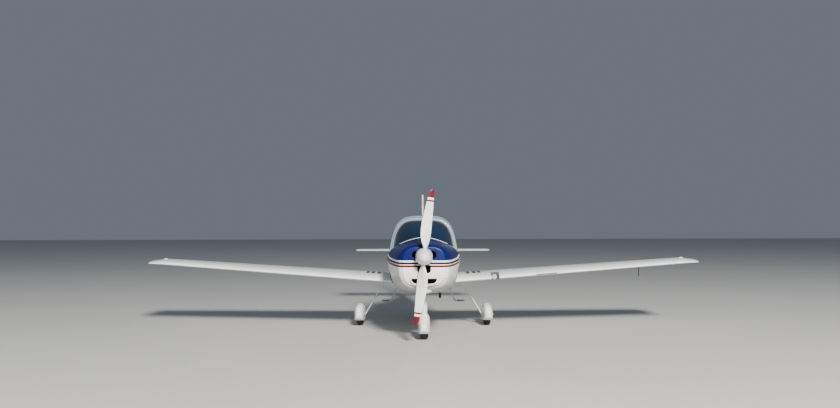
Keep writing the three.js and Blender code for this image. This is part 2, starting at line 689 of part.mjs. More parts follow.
function makeNoseGear() {
  const steerY = at(STEER_STATION);
  const axleY = at(NOSE_AXLE_STATION);
  const axle = (grow) => bar([-80 - grow, axleY, NOSE_TYRE_RADIUS], [80 + grow, axleY, NOSE_TYRE_RADIUS],
    AXLE_RADIUS + grow, AXLE_RADIUS + grow, 20);
  const tube = (grow) => bar([0, steerY, 303], [0, steerY, 742], 20 + grow, 20 + grow, 20);
  // A fork over the tyre, with shoulders that follow the tyre's edge
  const half = NOSE_TYRE_WIDTH / 2 + 6;
  const fork = plate((outline) => {
    outline.moveTo(-half - 7, 131).lineTo(-half - 7, 253).lineTo(-half + 6, 306).lineTo(half - 6, 306);
    outline.lineTo(half + 7, 253).lineTo(half + 7, 131).lineTo(half, 131).lineTo(half, 253);
    outline.lineTo(half - 16, 296).lineTo(-half + 16, 296).lineTo(-half, 253).lineTo(-half, 131);
  }, NOSE_AXLE_STATION - 18, NOSE_AXLE_STATION + 18);
  const { shell, hollow, room } = spatShell(NOSE_SPAT, NOSE_SECTION, 0, NOSE_AXLE_STATION, NOSE_TYRE_RADIUS,
    NOSE_TYRE_WIDTH);
  const crown = box([-30, 30], [steerY - 24, axleY + 18], [296, 310]);
  const leg = joined(axle(0), tube(0), joined(fork, crown).intersect(hollow));
  const spat = shell.subtract(axle(SEAT_GAP)).subtract(tube(SEAT_GAP));
  const fairingRing = (z, chord, width) => Array.from({ length: 20 }, (_, i) => {
    const angle = 2 * Math.PI * i / 20;
    const back = Math.cos(angle);
    const side = width / 2 * Math.sin(angle) * (1 - 0.35 * Math.max(back, 0));
    return [side, steerY + 20 + chord / 2 * back, z];
  });
  const fairing = loft([
    fairingRing(300, 140, 78),
    fairingRing(335, 150, 80),
    fairingRing(420, 170, 88),
    fairingRing(562, 190, 84),
  ]).subtract(tube(SEAT_GAP)).subtract(room);
  const collar = bar([0, steerY, 662], [0, steerY, 722], 34, 34, 24)
    .subtract(bar([0, steerY, 640], [0, steerY, 760], 21, 21, 24));
  const arms = [-1, 1].map((side) => bar(
    [side * 29, steerY + 12, 692], [side * 190, at(FIREWALL + 6), 692], 10, 10, 10,
  ));
  const wheels = wheelAndTyre(0, NOSE_AXLE_STATION, NOSE_TYRE_RADIUS, NOSE_TYRE_WIDTH);
  const mount = joined(collar, ...arms).subtract(behindFirewall());
  return { leg, fairing, spat, mount, ...wheels };
}

// Lifting surfaces

// Half thickness of a plain symmetrical section of unit chord and thickness
function sectionHalf(u) {
  return 5 * (0.2969 * Math.sqrt(u) - 0.126 * u - 0.3516 * u ** 2 + 0.2843 * u ** 3 - 0.1036 * u ** 4);
}
const SECTION_STEPS = [1, 0.76, 0.5, 0.28, 0.12, 0.03, 0];
const EDGE = 1.6;
const camberLine = (u) => (u < 0.4 ? (0.8 * u - u * u) / 0.16 : (0.2 + 0.8 * u - u * u) / 0.36);

// The outline of a section as [place along the chord, offset], from the rear edge round the nose.
function sectionPoints(chord, thickness, camber) {
  const half = (u) => thickness * sectionHalf(u) + EDGE * u;
  const mean = (u) => camber * chord * camberLine(u);
  const lower = SECTION_STEPS.map((u) => [u * chord, mean(u) - half(u)]);
  const upper = SECTION_STEPS.slice(0, -1).reverse().map((u) => [u * chord, mean(u) + half(u)]);
  return [...lower, ...upper];
}

function wingAt(x) {
  const t = (x - WING_ROOT.x) / (WING_TIP.x - WING_ROOT.x);
  const between = (key) => mix(WING_ROOT[key], WING_TIP[key], t);
  return {
    leading: between('leading'),
    chord: between('chord'),
    height: between('height'),
    thickness: between('thickness'),
  };
}

function wingRing(x, chordShare = 1, thicknessShare = 1, drop = 0, grow = 0) {
  const { leading, chord, height, thickness } = wingAt(x);
  const nose = leading + chord * (1 - chordShare) * 0.5;
  const [long, thick] = [chord * chordShare + 2 * grow, thickness * thicknessShare + 2 * grow];
  const points = sectionPoints(long, thick, WING_CAMBER);
  return points.map(([back, up]) => [x, at(nose - grow + back), height - drop + up]);
}

function wingHinge(x) {
  const { leading, chord, height, thickness } = wingAt(x);
  return {
    point: [x, at(leading + chord * FLAP_HINGE), height + WING_CAMBER * chord * camberLine(FLAP_HINGE)],
    radius: (thickness * sectionHalf(FLAP_HINGE) + 1) * 0.96,
  };
}

// One hinged surface cut from a solid. The line runs between two points with a radius at each.
// Brackets of the fixed part reach back to the line and carry pins that enter the moving part.
function hinged(whole, region, line, roomRegion, places) {
  const [start, end] = line;
  const [from, to] = [new THREE.Vector3(...start.point), new THREE.Vector3(...end.point)];
  const along = to.clone().sub(from);
  const span = along.length();
  along.normalize();
  const on = (distance) => from.clone().addScaledVector(along, distance).toArray();
  const rod = (a, b, ra, rb, sides) => bar(on(a), on(b), ra, rb, sides);
  const [startRoom, endRoom] = [start.radius + RUNNING_GAP, end.radius + RUNNING_GAP];
  const room = rod(-RUNNING_GAP, span + RUNNING_GAP, startRoom, endRoom, 14);
  let moving = whole.intersect(region).add(rod(0, span, start.radius, end.radius, 14));
  let fixed = whole.subtract(roomRegion).subtract(room);
  places.forEach((share) => {
    const distance = share * span;
    const radius = mix(start.radius, end.radius, share);
    const reach = radius + RUNNING_GAP + 14;
    moving = moving
      .subtract(blockOn(on(distance), along.toArray(), [28, radius + 22, 200], [0, (radius - 14) / 2, 0]))
      .subtract(rod(distance - 23, distance + 23, PIN_RADIUS + 0.8, PIN_RADIUS + 0.8, 10));
    fixed = fixed
      .add(blockOn(on(distance), along.toArray(), [8, reach + 6, 12], [0, (reach - 6) / 2, 0]))
      .add(rod(distance - 20, distance + 20, PIN_RADIUS, PIN_RADIUS, 10));
  });
  return { moving, fixed };
}

function flatRegion(corners) {
  const outline = new THREE.Shape(corners.map(([x, station]) => new THREE.Vector2(x, at(station))));
  return solidOf(new THREE.ExtrudeGeometry(outline, { depth: 2000, bevelEnabled: false }));
}

function behindWingHinge(inner, outer) {
  const station = (x) => wingHinge(x).point[1] - at(0);
  return flatRegion([[inner, station(inner)], [outer, station(outer)], [outer, 4000], [inner, 4000]]);
}

const wholeWing = (grow = 0) => loft([
  ...[330, WING_ROOT.x, 2056, WING_TIP.x].map((x) => wingRing(x, 1, 1, 0, grow)),
  ...WING_END.map((row) => wingRing(...row, grow)),
]);

function makeWing() {
  const seal = loft([wingRing(330, 0.994, 0.96), wingRing(900, 0.994, 0.96)])
    .intersect(bodyGrownBy(SEAL_WIDTH + SEAT_GAP)).subtract(bodyGrownBy(SEAT_GAP));
  const panel = wholeWing().subtract(bodyGrownBy(SEAL_WIDTH + 2 * SEAT_GAP));
  const aileronInner = FLAP_OUTER + 2 * RUNNING_GAP;
  const flap = hinged(panel, behindWingHinge(FLAP_INNER, FLAP_OUTER),
    [wingHinge(FLAP_INNER), wingHinge(FLAP_OUTER)],
    behindWingHinge(FLAP_INNER - RUNNING_GAP, FLAP_OUTER + RUNNING_GAP), BRACKETS);
  const aileron = hinged(flap.fixed, behindWingHinge(aileronInner, AILERON_OUTER),
    [wingHinge(aileronInner), wingHinge(AILERON_OUTER)],
    behindWingHinge(FLAP_OUTER, AILERON_OUTER + RUNNING_GAP), BRACKETS);
  return { wing: aileron.fixed, flap: flap.moving, aileron: aileron.moving, seal };
}

// A lamp in a pocket of the front edge, behind a clear cover that carries on the wing's form
function makeLandingLight() {
  const height = wingAt(LAMP_X).height + 5;
  const across = (half) => [LAMP_X - half, LAMP_X + half];
  const pocket = (half, depth) => box(across(half), [at(1500), at(LAMP_STATION + depth)], [600, 1000]);
  const cover = wholeWing().subtract(wholeWing(-3))
    .intersect(pocket(LAMP_RADIUS - SEAT_GAP, -SEAT_GAP));
  const lamp = bar([LAMP_X, at(LAMP_STATION - 36), height], [LAMP_X, at(LAMP_STATION - SEAT_GAP), height],
    34, 22, 24);
  return { cover, lamp, room: pocket(LAMP_RADIUS, 0) };
}

// Columns: place along the span, station of the front and rear edge, thickness
const STABILIZER = [
  [0, 5250, 5950, STABILIZER_THICKNESS],
  [1178, 5332, 5900, 42],
  [1215, 5352, 5890, 32],
  [STABILIZER_SPAN / 2, 5385, 5868, 14],
];

function wholeStabilizer(grow) {
  const ring = ([x, front, rear, thickness], side) => {
    const points = sectionPoints(rear - front + 2 * grow, thickness + 2 * grow, 0);
    return points.map(([back, up]) => [side * x, at(front - grow + back), STABILIZER_HEIGHT + up]);
  };
  const starboard = STABILIZER.slice(1).reverse().map((row) => ring(row, -1));
  return loft([...starboard, ...STABILIZER.map((row) => ring(row, 1))]);
}

function makeStabilizer() {
  const [root, end] = STABILIZER;
  const hinge = (x) => {
    const t = Math.abs(x) / end[0];
    const [front, rear, thickness] = [1, 2, 3].map((column) => mix(root[column], end[column], t));
    const radius = (thickness * sectionHalf((ELEVATOR_HINGE - front) / (rear - front)) + 1) * 0.96;
    return { point: [x, at(ELEVATOR_HINGE), STABILIZER_HEIGHT], radius };
  };
  const [inner, outer, cutBack] = [64, 1192, 215];
  const behind = (side) => flatRegion([[side * inner, ELEVATOR_HINGE], [side * outer, ELEVATOR_HINGE],
    [side * outer, 6100], [side * cutBack, 6100]]);
  const room = (side) => flatRegion([[0, ELEVATOR_HINGE - 24], [side * (inner + 2), ELEVATOR_HINGE - 24],
    [side * (inner + 2), ELEVATOR_HINGE], [side * (outer + RUNNING_GAP), ELEVATOR_HINGE],
    [side * (outer + RUNNING_GAP), 6100], [0, 6100]]);
  const port = hinged(wholeStabilizer(0), behind(1), [hinge(inner), hinge(outer)], room(1), BRACKETS);
  const both = hinged(port.fixed, behind(-1), [hinge(-inner), hinge(-outer)], room(-1), BRACKETS);
  const tubeEnd = (x) => [x, at(ELEVATOR_HINGE), STABILIZER_HEIGHT];
  const torqueTube = bar(tubeEnd(-80), tubeEnd(80), 11);
  return { stabilizer: both.fixed, elevator: joined(port.moving, both.moving, torqueTube) };
}

// Columns: height, station of the front and rear edge, thickness
const FIN = [
  [960, 4560, 6150, 72],
  [1090, 4700, 6150, 66],
  [1150, 4890, 6148, 63],
  [1230, 5010, 6146, 62],
  [1400, 5105, 6138, 60],
  [1960, 5400, 6072, 54],
  [2008, 5434, 6062, 46],
  [FIN_TOP, 5480, 6040, 30],
];

function makeFin(bodyRoom) {
  const ring = ([height, front, rear, thickness]) => sectionPoints(rear - front, thickness, 0)
    .map(([back, out]) => [out, at(front + back), height]);
  const tailRoom = box([-200, 200], [at(TAIL_END - 40), at(6200)], [800, FIN_BASE]);
  const whole = loft(FIN.map(ring)).subtract(bodyRoom).subtract(tailRoom);
  const hinge = (height) => {
    const [, front, rear, thickness] = rowAt(FIN, height);
    const radius = (thickness * sectionHalf((RUDDER_HINGE - front) / (rear - front)) + 1) * 0.94;
    return { point: [0, at(RUDDER_HINGE), height], radius };
  };
  const [bottom, top] = [FIN_BASE + 16, 1975];
  const slab = (front, low, high) => box([-300, 300], [at(front), at(6300)], [low, high]);
  const room = slab(RUDDER_HINGE, 0, 2100).add(slab(RUDDER_HINGE - 22, top, 2100));
  return hinged(whole, slab(RUDDER_HINGE, bottom, 2100), [hinge(bottom), hinge(top)], room, BRACKETS);
}

// Cabin fittings

const cabinRoom = () => bodyLoft(INNER_STATIONS, -CABIN_WALL - SEAT_GAP);

function makePanel() {
  const board = cabinRoom()
    .intersect(box([-600, 600], [at(PANEL_STATION), at(PANEL_STATION + 22)], [935, 1300]));
  const deck = bodyLoft([1440, 1500, 1560, 1620, 1700], -16);
  const hood = deck
    .subtract(bodyLoft([1430, 1500, 1560, 1620, 1710], -24))
    .intersect(archLoft(WINDSHIELD, WINDSHIELD_STATIONS, GLASS + 2))
    .intersect(box([-600, 600], [at(1470), at(PANEL_STATION + 50)], [1100, 1400]));
  const visor = deck.intersect(archLoft(WINDSHIELD, WINDSHIELD_STATIONS, GLASS + 2))
    .intersect(box([-600, 600], [at(PANEL_STATION), at(PANEL_STATION + 22)], [1100, 1400]));
  return joined(board, hood, visor);
}

// A seat's side view, cut to the cabin low down, narrower beside the rails and at the headrest
function makeSeat() {
  const sideView = (inner, outer) => {
    const outline = new THREE.Shape();
    outline.moveTo(2130, 560).lineTo(2620, 560).lineTo(2930, 1250);
    outline.quadraticCurveTo(2960, 1330, 2890, 1345).quadraticCurveTo(2850, 1350, 2825, 1290);
    outline.lineTo(2560, 790).lineTo(2140, 830).quadraticCurveTo(2090, 825, 2095, 780);
    const shape = { depth: outer - inner, bevelEnabled: false, curveSegments: 4 };
    const geometry = new THREE.ExtrudeGeometry(outline, shape);
    geometry.applyMatrix4(new THREE.Matrix4().makeBasis(
      new THREE.Vector3(0, 1, 0),
      new THREE.Vector3(0, 0, 1),
      new THREE.Vector3(1, 0, 0),
    ).setPosition(inner, at(0), 0));
    return solidOf(geometry);
  };
  const between = (low, high) => box([0, 600], [at(2000), at(3100)], [low, high]);
  return joined(
    sideView(25, 425).intersect(between(500, 1050)).intersect(cabinRoom()),
    sideView(25, 375).intersect(between(1040, 1200)),
    sideView(100, 300).intersect(between(1190, 1400)),
  );
}

function makeStick() {
  const x = 220;
  return joined(
    bar([x, at(1985), 570], [x, at(1985), 622], 30).intersect(cabinRoom()),
    bar([x, at(1985), 612], [x, at(2010), 880], 11),
    bar([x, at(2010), 870], [x, at(2000), 985], 17, 15),
  );
}

const makeConsole = () => joined(
  box([-60, 60], [at(1640), at(1960)], [560, 860]).intersect(cabinRoom()),
  box([-18, 18], [at(1700), at(1712)], [855, 930]),
  box([-50, 50], [at(1720), at(1800)], [855, 872]),
);

function makePitot() {
  const { height } = wingAt(PITOT_X);
  const y = at(2050);
  return joined(
    bar([PITOT_X, y, height - PITOT_DROP], [PITOT_X, y, height], 6),
    bar([PITOT_X, y + 6, height - PITOT_DROP], [PITOT_X, y - 50, height - PITOT_DROP], 6),
  ).subtract(wholeWing(SEAT_GAP));
}

function makeStep() {
  return joined(
    bar([277, at(3285), 760], [498, at(3310), 262], 13),
    bar([490, at(3310), 262], [655, at(3310), 262], 13),
  ).subtract(bodyGrownBy(SEAT_GAP));
}

// Assembly

const aircraft = new THREE.Group();

function place(name, solid, paint) {
  const { numProp, vertProperties, triVerts } = solid.getMesh();
  const position = new Float32Array(vertProperties.length / numProp * 3);
  for (let i = 0; i < position.length / 3; i += 1) {
    position.set(vertProperties.slice(i * numProp, i * numProp + 3), i * 3);
  }
  const geometry = new THREE.BufferGeometry();
  geometry.setAttribute('position', new THREE.BufferAttribute(position, 3));
  geometry.setIndex(Array.from(triVerts));
  geometry.computeVertexNormals();
  const mesh = new THREE.Mesh(geometry, paint(name));
  mesh.name = name;
  aircraft.add(mesh);
}

function placePair(name, solid, paint) {
  place(`${name}_port`, solid, paint);
  place(`${name}_starboard`, mirrored(solid), paint);
}

const cowl = makeCowls();
const bodyRoom = bodyGrownBy(SEAT_GAP);
const nose = makeNoseGear();
const { wing, flap, aileron, seal } = makeWing();
const gear = makeMainGear(wholeWing(SEAT_GAP), bodyRoom);
const { stabilizer, elevator } = makeStabilizer();
const { moving: rudder, fixed: fin } = makeFin(bodyRoom);
const light = makeLandingLight();

place('fuselage', makeFuselage(), white);
place('tail_cone', makeTailCone(), white);
place('cowl_upper', cowl.upper, blue);
place('cowl_lower', cowl.lower, white);
place('chin_blister', makeChinBlister(bodyRoom), white);
place('engine', makeEngine(), grey);
place('exhaust_pipe', makeExhaust(), grey);
place('windshield', makeWindshield(), glass);
place('windshield_bow', makeBow(), white);
place('canopy_glass', makeCanopyGlass(), glass);
place('canopy_frame', makeCanopyFrame(), white);
place('instrument_panel', makePanel(), dark);
place('centre_console', makeConsole(), dark);
placePair('seat', makeSeat(), fabric);
placePair('control_stick', makeStick(), dark);
place('propeller', makePropeller(), white);
place('spinner', makeSpinner(), white);
place('spinner_backplate', makeBackplate(), grey);
place('nose_leg_mount', nose.mount, grey);
place('nose_leg', nose.leg, grey);
place('nose_leg_fairing', nose.fairing, white);
place('nose_spat', nose.spat, white);
place('nose_tyre', nose.tyre, rubber);
place('nose_wheel', nose.wheel, grey);
placePair('main_leg', gear.leg, white);
placePair('main_spat', gear.spat, white);
placePair('main_tyre', gear.tyre, rubber);
placePair('main_wheel', gear.wheel, grey);
place('wing_port', wing.subtract(light.room), white);
place('wing_starboard', mirrored(wing), white);
placePair('wing_root_seal', seal, dark);
placePair('flap', flap, white);
placePair('aileron', aileron, white);
place('landing_light', light.lamp, grey);
place('landing_light_cover', light.cover, glass);
place('pitot_mast', makePitot(), dark);
placePair('entry_step', makeStep(), grey);
place('stabilizer', stabilizer, white);
place('elevator', elevator, white);
place('fin', fin, white);
place('rudder', rudder, white);

export default aircraft;
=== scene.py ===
"""The looks of a two-seat light aircraft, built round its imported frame.

Lengths are in metres, x points to port and z up. A station is a distance behind the spinner's tip,
and at() gives its y.
"""

import contextlib
import math

import bmesh
import bpy
from mathutils import Matrix, Vector


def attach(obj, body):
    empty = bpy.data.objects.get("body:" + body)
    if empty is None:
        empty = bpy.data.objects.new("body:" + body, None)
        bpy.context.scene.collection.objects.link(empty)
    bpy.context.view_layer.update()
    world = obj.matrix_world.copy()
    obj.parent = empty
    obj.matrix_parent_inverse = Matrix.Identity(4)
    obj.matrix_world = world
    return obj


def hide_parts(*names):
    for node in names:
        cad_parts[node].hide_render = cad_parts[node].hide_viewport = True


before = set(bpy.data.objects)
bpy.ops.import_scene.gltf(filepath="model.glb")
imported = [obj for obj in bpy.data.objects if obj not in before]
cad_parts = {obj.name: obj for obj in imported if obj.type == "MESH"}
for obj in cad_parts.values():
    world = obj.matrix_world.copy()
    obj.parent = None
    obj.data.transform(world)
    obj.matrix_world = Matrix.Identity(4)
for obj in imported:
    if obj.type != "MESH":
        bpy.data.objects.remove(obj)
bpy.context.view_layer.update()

SIDES = (("port", 1), ("starboard", -1))
MM = 0.001
LENGTH = 6.150
# Between solids that touch, between a fixed and a moving one, and half of a seam
SEAT_GAP, RUNNING_GAP, PANEL_GAP = 0.0003, 0.006, 0.0011
# A span of x wider than the body, for cutters
WIDE = (-0.7, 0.7)
SILL_HEIGHT, GREENHOUSE_BASE = 1.080, 1.000
BOW_FRONT, BOW_REAR, BOW_LEAN = 1.870, 1.950, 0.12
GLASS = 0.006
FIREWALL, CABIN_REAR, CONE_FRONT, TAIL_END = 1.050, 3.150, 3.175, 5.640
CABIN_WALL = 0.036
COWL_SPLIT, COWL_SKIN = 0.797, 0.014
SHAFT_HEIGHT = 1.062
PROPELLER_STATION, PROPELLER_LEAN = 0.170, math.radians(7.3)
SPINNER_RADIUS, SPINNER_LENGTH = 0.108, 0.236
MAIN_TRACK, MAIN_AXLE, MAIN_TYRE, MAIN_WIDTH = 1.846, 2.300, 0.148, 0.100
NOSE_AXLE, NOSE_TYRE, NOSE_WIDTH = 0.750, 0.145, 0.112
AXLE_RADIUS = 0.012
STEER_STATION = 0.715
FLAP_HINGE = 0.76
FLAP_INNER, FLAP_OUTER, AILERON_OUTER = 0.520, 2.050, 3.600
WING_CAMBER = 0.02
STABILIZER_HEIGHT = 1.002
ELEVATOR_HINGE, RUDDER_HINGE = 5.690, 5.775
FIN_BASE = 1.062
LAMP_X, LAMP_RADIUS, LAMP_STATION = 0.993, 0.056, 1.850
PITOT_X, PITOT_STATION, PITOT_DROP = 3.080, 2.05, 0.172
INLET_X, INLET_RADIUS, INLET_HEIGHTS = 0.106, 0.040, (1.074, 1.090)
PANEL_STATION = 1.610
EXHAUST_X, EXHAUST_STATION = 0.206, 0.850


def at(station):
    return station - LENGTH / 2


def power(value, exponent):
    return math.copysign(abs(value) ** exponent, value)


def mix(a, b, t):
    return a + (b - a) * t


def steps(start, end, size):
    count = max(1, round((end - start) / size))
    return [start + (end - start) * i / count for i in range(count + 1)]


def turns(count, first=0.0):
    """Angles evenly spaced round a circle."""
    return [2 * math.pi * (i + first) / count for i in range(count)]


def row_at(table, place):
    """A table's row at a place between its rows, smooth from row to row."""
    i = 0
    while i < len(table) - 2 and table[i + 1][0] < place:
        i += 1
    p, q = table[i], table[i + 1]
    before, after = table[max(i - 1, 0)], table[min(i + 2, len(table) - 1)]
    t = (place - p[0]) / (q[0] - p[0])
    row = [place]
    for k in range(1, len(p)):
        pull = (q[k] - before[k]) / (q[0] - before[0]) * (q[0] - p[0])
        push = (after[k] - p[k]) / (after[0] - p[0]) * (q[0] - p[0])
        cubic = 2 * p[k] - 2 * q[k] + pull + push
        square = 3 * q[k] - 3 * p[k] - 2 * pull - push
        row.append(((cubic * t + square) * t + pull) * t + p[k])
    return row


def metres(table, scaled):
    """Rows in millimetres, with the first columns turned to metres."""
    return [[v * MM if k < scaled else v for k, v in enumerate(row)] for row in table]


def bezier(start, control, end, t):
    return [(1 - t) ** 2 * a + 2 * t * (1 - t) * b + t * t * c for a, b, c in zip(start, control, end)]


# Meshes

BOX_FACES = [(0, 1, 3, 2), (4, 6, 7, 5), (0, 4, 5, 1), (2, 3, 7, 6), (0, 2, 6, 4), (1, 5, 7, 3)]


def linked(name, data):
    obj = bpy.data.objects.new(name, data)
    bpy.context.scene.collection.objects.link(obj)
    return obj


@contextlib.contextmanager
def edited(obj):
    bm = bmesh.new()
    bm.from_mesh(obj.data)
    yield bm
    bm.to_mesh(obj.data)
    bm.free()


def mesh_object(name, points, faces, material=None):
    mesh = bpy.data.meshes.new(name)
    mesh.from_pydata([tuple(p) for p in points], [], faces)
    mesh.validate()
    obj = linked(name, mesh)
    if material is not None:
        mesh.materials.append(material)
    with edited(obj) as bm:
        bmesh.ops.remove_doubles(bm, verts=bm.verts, dist=1e-6)
        bmesh.ops.recalc_face_normals(bm, faces=bm.faces)
    return obj


def loft(name, rings, material=None):
    """One closed skin through rings of equal count."""
    count = len(rings[0])
    points = [p for ring in rings for p in ring]
    faces = []
    for i in range(len(rings) - 1):
        for j in range(count):
            a, b = i * count + j, i * count + (j + 1) % count
            faces.append((a, b, b + count, a + count))
    for end in (0, len(rings) - 1):
        points.append([sum(p[k] for p in rings[end]) / count for k in range(3)])
        for j in range(count):
            faces.append((end * count + j, end * count + (j + 1) % count, len(points) - 1))
    return mesh_object(name, points, faces, material)


def extruded(name, near, far):
    """A solid between two flat outlines of equal count."""
    count = len(near)
    faces = [tuple(range(count)), tuple(range(2 * count - 1, count - 1, -1))]
    faces += [(i, (i + 1) % count, (i + 1) % count + count, i + count) for i in range(count)]
    return mesh_object(name, near + far, faces)


def prism(outline, front, rear):
    """An outline in x and z pushed from one station to another."""
    unique = [p for i, p in enumerate(outline) if math.dist(p, outline[i - 1]) > 1e-6]
    return extruded("prism", *[[(x, at(s), z) for x, z in unique] for s in (front, rear)])


def column(*corners):
    """An upright solid over corners of (x, station)."""
    return extruded("column", *[[(x, at(s), z) for x, s in corners] for z in (0.0, 2.1)])


def box(x, stations, z, name="box", material=None, bevel=0.0, sign=1):
    """A box between two stations, on the side of the sign."""
    points = [(i, at(j), k) for i in sorted(sign * v for v in x) for j in stations for k in z]
    obj = mesh_object(name, points, BOX_FACES, material)
    return rounded(obj, bevel) if bevel else obj


def frame_of(axis):
    """Two directions square to an axis."""
    axis = Vector(axis).normalized()
    side = axis.cross(Vector((0, 0, 1)) if abs(axis.z) < 0.9 else Vector((1, 0, 0))).normalized()
    return axis, side, axis.cross(side)


def turned(name, profile, centre, axis, sides=48, material=None):
    """A closed or open profile of (radius, distance) turned round an axis."""
    centre = Vector(centre)
    axis, side, up = frame_of(axis)
    points = []
    for a in turns(sides):
        out = side * math.cos(a) + up * math.sin(a)
        points += [centre + axis * d + out * max(r, 1e-7) for r, d in profile]
    count = len(profile)
    faces = []
    for i in range(sides):
        a, b = i * count, (i + 1) % sides * count
        faces += [(a + j, b + j, b + j + 1, a + j + 1) for j in range(count - 1)]
    return mesh_object(name, points, faces, material)


def tube(name, path, radius, material=None, sides=12):
    """A round rod along a path of points; radius is a number or one for each point."""
    points = [Vector(p) for p in path]
    sizes = radius if isinstance(radius, (list, tuple)) else [radius] * len(points)
    side = frame_of(points[1] - points[0])[1]
    rings = []
    for i, (point, size) in enumerate(zip(points, sizes)):
        axis = (points[min(i + 1, len(points) - 1)] - points[max(i - 1, 0)]).normalized()
        side = (side - axis * side.dot(axis)).normalized()
        up = axis.cross(side)
        rings.append([point + (side * math.cos(a) + up * math.sin(a)) * size for a in turns(sides)])
    return loft(name, rings, material)


def bar(start, end, radius, sides=24, material=None, end_radius=None):
    return tube("bar", (start, end), (radius, radius if end_radius is None else end_radius), material, sides)


def applied(obj):
    """The object's mesh with its modifiers worked in."""
    graph = bpy.context.evaluated_depsgraph_get()
    mesh = bpy.data.meshes.new_from_object(obj.evaluated_get(graph), depsgraph=graph)
    old = obj.data
    obj.modifiers.clear()
    obj.data = mesh
    bpy.data.meshes.remove(old)
    return obj


def modifier(obj, kind, **settings):
    added = obj.modifiers.new(kind.lower(), kind)
    for key, value in settings.items():
        setattr(added, key, value)
    return added


def boolean(obj, others, operation):
    for other in others:
        modifier(obj, "BOOLEAN", operation=operation, solver="MANIFOLD", object=other)
    applied(obj)
    for other in others:
        remove(other)
    return obj


def cut(obj, *others):
    return boolean(obj, others, "DIFFERENCE")


def common(obj, *others):
    return boolean(obj, others, "INTERSECT")


def fused(obj, *others):
    return boolean(obj, others, "UNION")


def rounded(obj, width, segments=3):
    modifier(obj, "BEVEL", width=width, segments=segments, limit_method="ANGLE", angle_limit=math.radians(35))
    return applied(obj)


def remove(obj):
    mesh = obj.data
    bpy.data.objects.remove(obj)
    if mesh.users == 0:
        bpy.data.meshes.remove(mesh)


def copy_of(obj, name):
    return linked(name, obj.data.copy())


def merged(name, objects):
    """Several meshes as one object, left as they are."""
    bm = bmesh.new()
    materials = []
    for obj in objects:
        offset = []
        for material in obj.data.materials:
            if material not in materials:
                materials.append(material)
            offset.append(materials.index(material))
        start = len(bm.faces)
        bm.from_mesh(obj.data)
        bm.faces.ensure_lookup_table()
        for face in bm.faces[start:]:
            face.material_index = offset[face.material_index] if offset else 0
        remove(obj)
    mesh = bpy.data.meshes.new(name)
    bm.to_mesh(mesh)
    bm.free()
    for material in materials:
        mesh.materials.append(material)
    return linked(name, mesh)


def flip(obj):
    obj.data.transform(Matrix.Scale(-1, 4, (1, 0, 0)))
    obj.data.flip_normals()
    return obj


def mirrored(obj):
    """The starboard twin of a port object."""
    return flip(copy_of(obj, obj.name.replace("port", "starboard")))


def keep_largest(obj):
    """Drops what a cut left apart from the largest piece."""
    with edited(obj) as bm:
        groups, seen = [], set()
        for vert in bm.verts:
            if vert in seen:
                continue
            group, queue = [], [vert]
            seen.add(vert)
            while queue:
                group.append(queue.pop())
                for edge in group[-1].link_edges:
                    other = edge.other_vert(group[-1])
                    if other not in seen:
                        seen.add(other)
                        queue.append(other)
            groups.append(group)
        for group in sorted(groups, key=len)[:-1]:
            bmesh.ops.delete(bm, geom=group, context="VERTS")


def dress(obj, index, *materials):
    """One row of materials on every solid that is cut together, so that faces keep theirs."""
    obj.data.materials.clear()
    for material in materials:
        obj.data.materials.append(material)
    for face in obj.data.polygons:
        face.material_index = index
    return obj


def piece(obj, body, slot_name, *nodes, angle=32.0):
    """Smooth shading with edges where faces meet at more than the angle, then the calls of the frame."""
    with edited(obj) as bm:
        bmesh.ops.remove_doubles(bm, verts=bm.verts, dist=2e-5)
        bmesh.ops.dissolve_degenerate(bm, dist=1e-5, edges=bm.edges)
        bmesh.ops.delete(bm, geom=[v for v in bm.verts if not v.link_faces], context="VERTS")
        for face in bm.faces:
            face.smooth = True
        for edge in bm.edges:
            edge.smooth = not (edge.is_manifold and edge.calc_face_angle(0.0) > math.radians(angle))
    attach(obj, body)
    if nodes:
        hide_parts(*nodes)
    return obj


def painted_piece(obj, material, body, slot_name, *nodes, angle=30.0):
    return piece(dress(obj, 0, material), body, slot_name, *nodes, angle=angle)


# Materials


def operation(kind, swapped=False):
    return lambda a, b=0.0: a.shade.maths(kind, *((b, a) if swapped else (a, b)))


class Value:
    """An output of a material's node, for sums like those with numbers."""

    def __init__(self, shade, socket):
        self.shade, self.socket = shade, socket

    __add__, __sub__, __mul__, __truediv__ = map(operation, ("ADD", "SUBTRACT", "MULTIPLY", "DIVIDE"))
    __gt__, __lt__, __abs__ = map(operation, ("GREATER_THAN", "LESS_THAN", "ABSOLUTE"))
    __rsub__ = operation("SUBTRACT", True)
    maximum, minimum, fraction, sine, root = map(operation, ("MAXIMUM", "MINIMUM", "FRACT", "SINE", "SQRT"))

    def rise(self, start, width):
        """0 up to the start and 1 from a width beyond it."""
        return self.shade.maths("MULTIPLY", self - start, 1.0 / width, clamp=True)


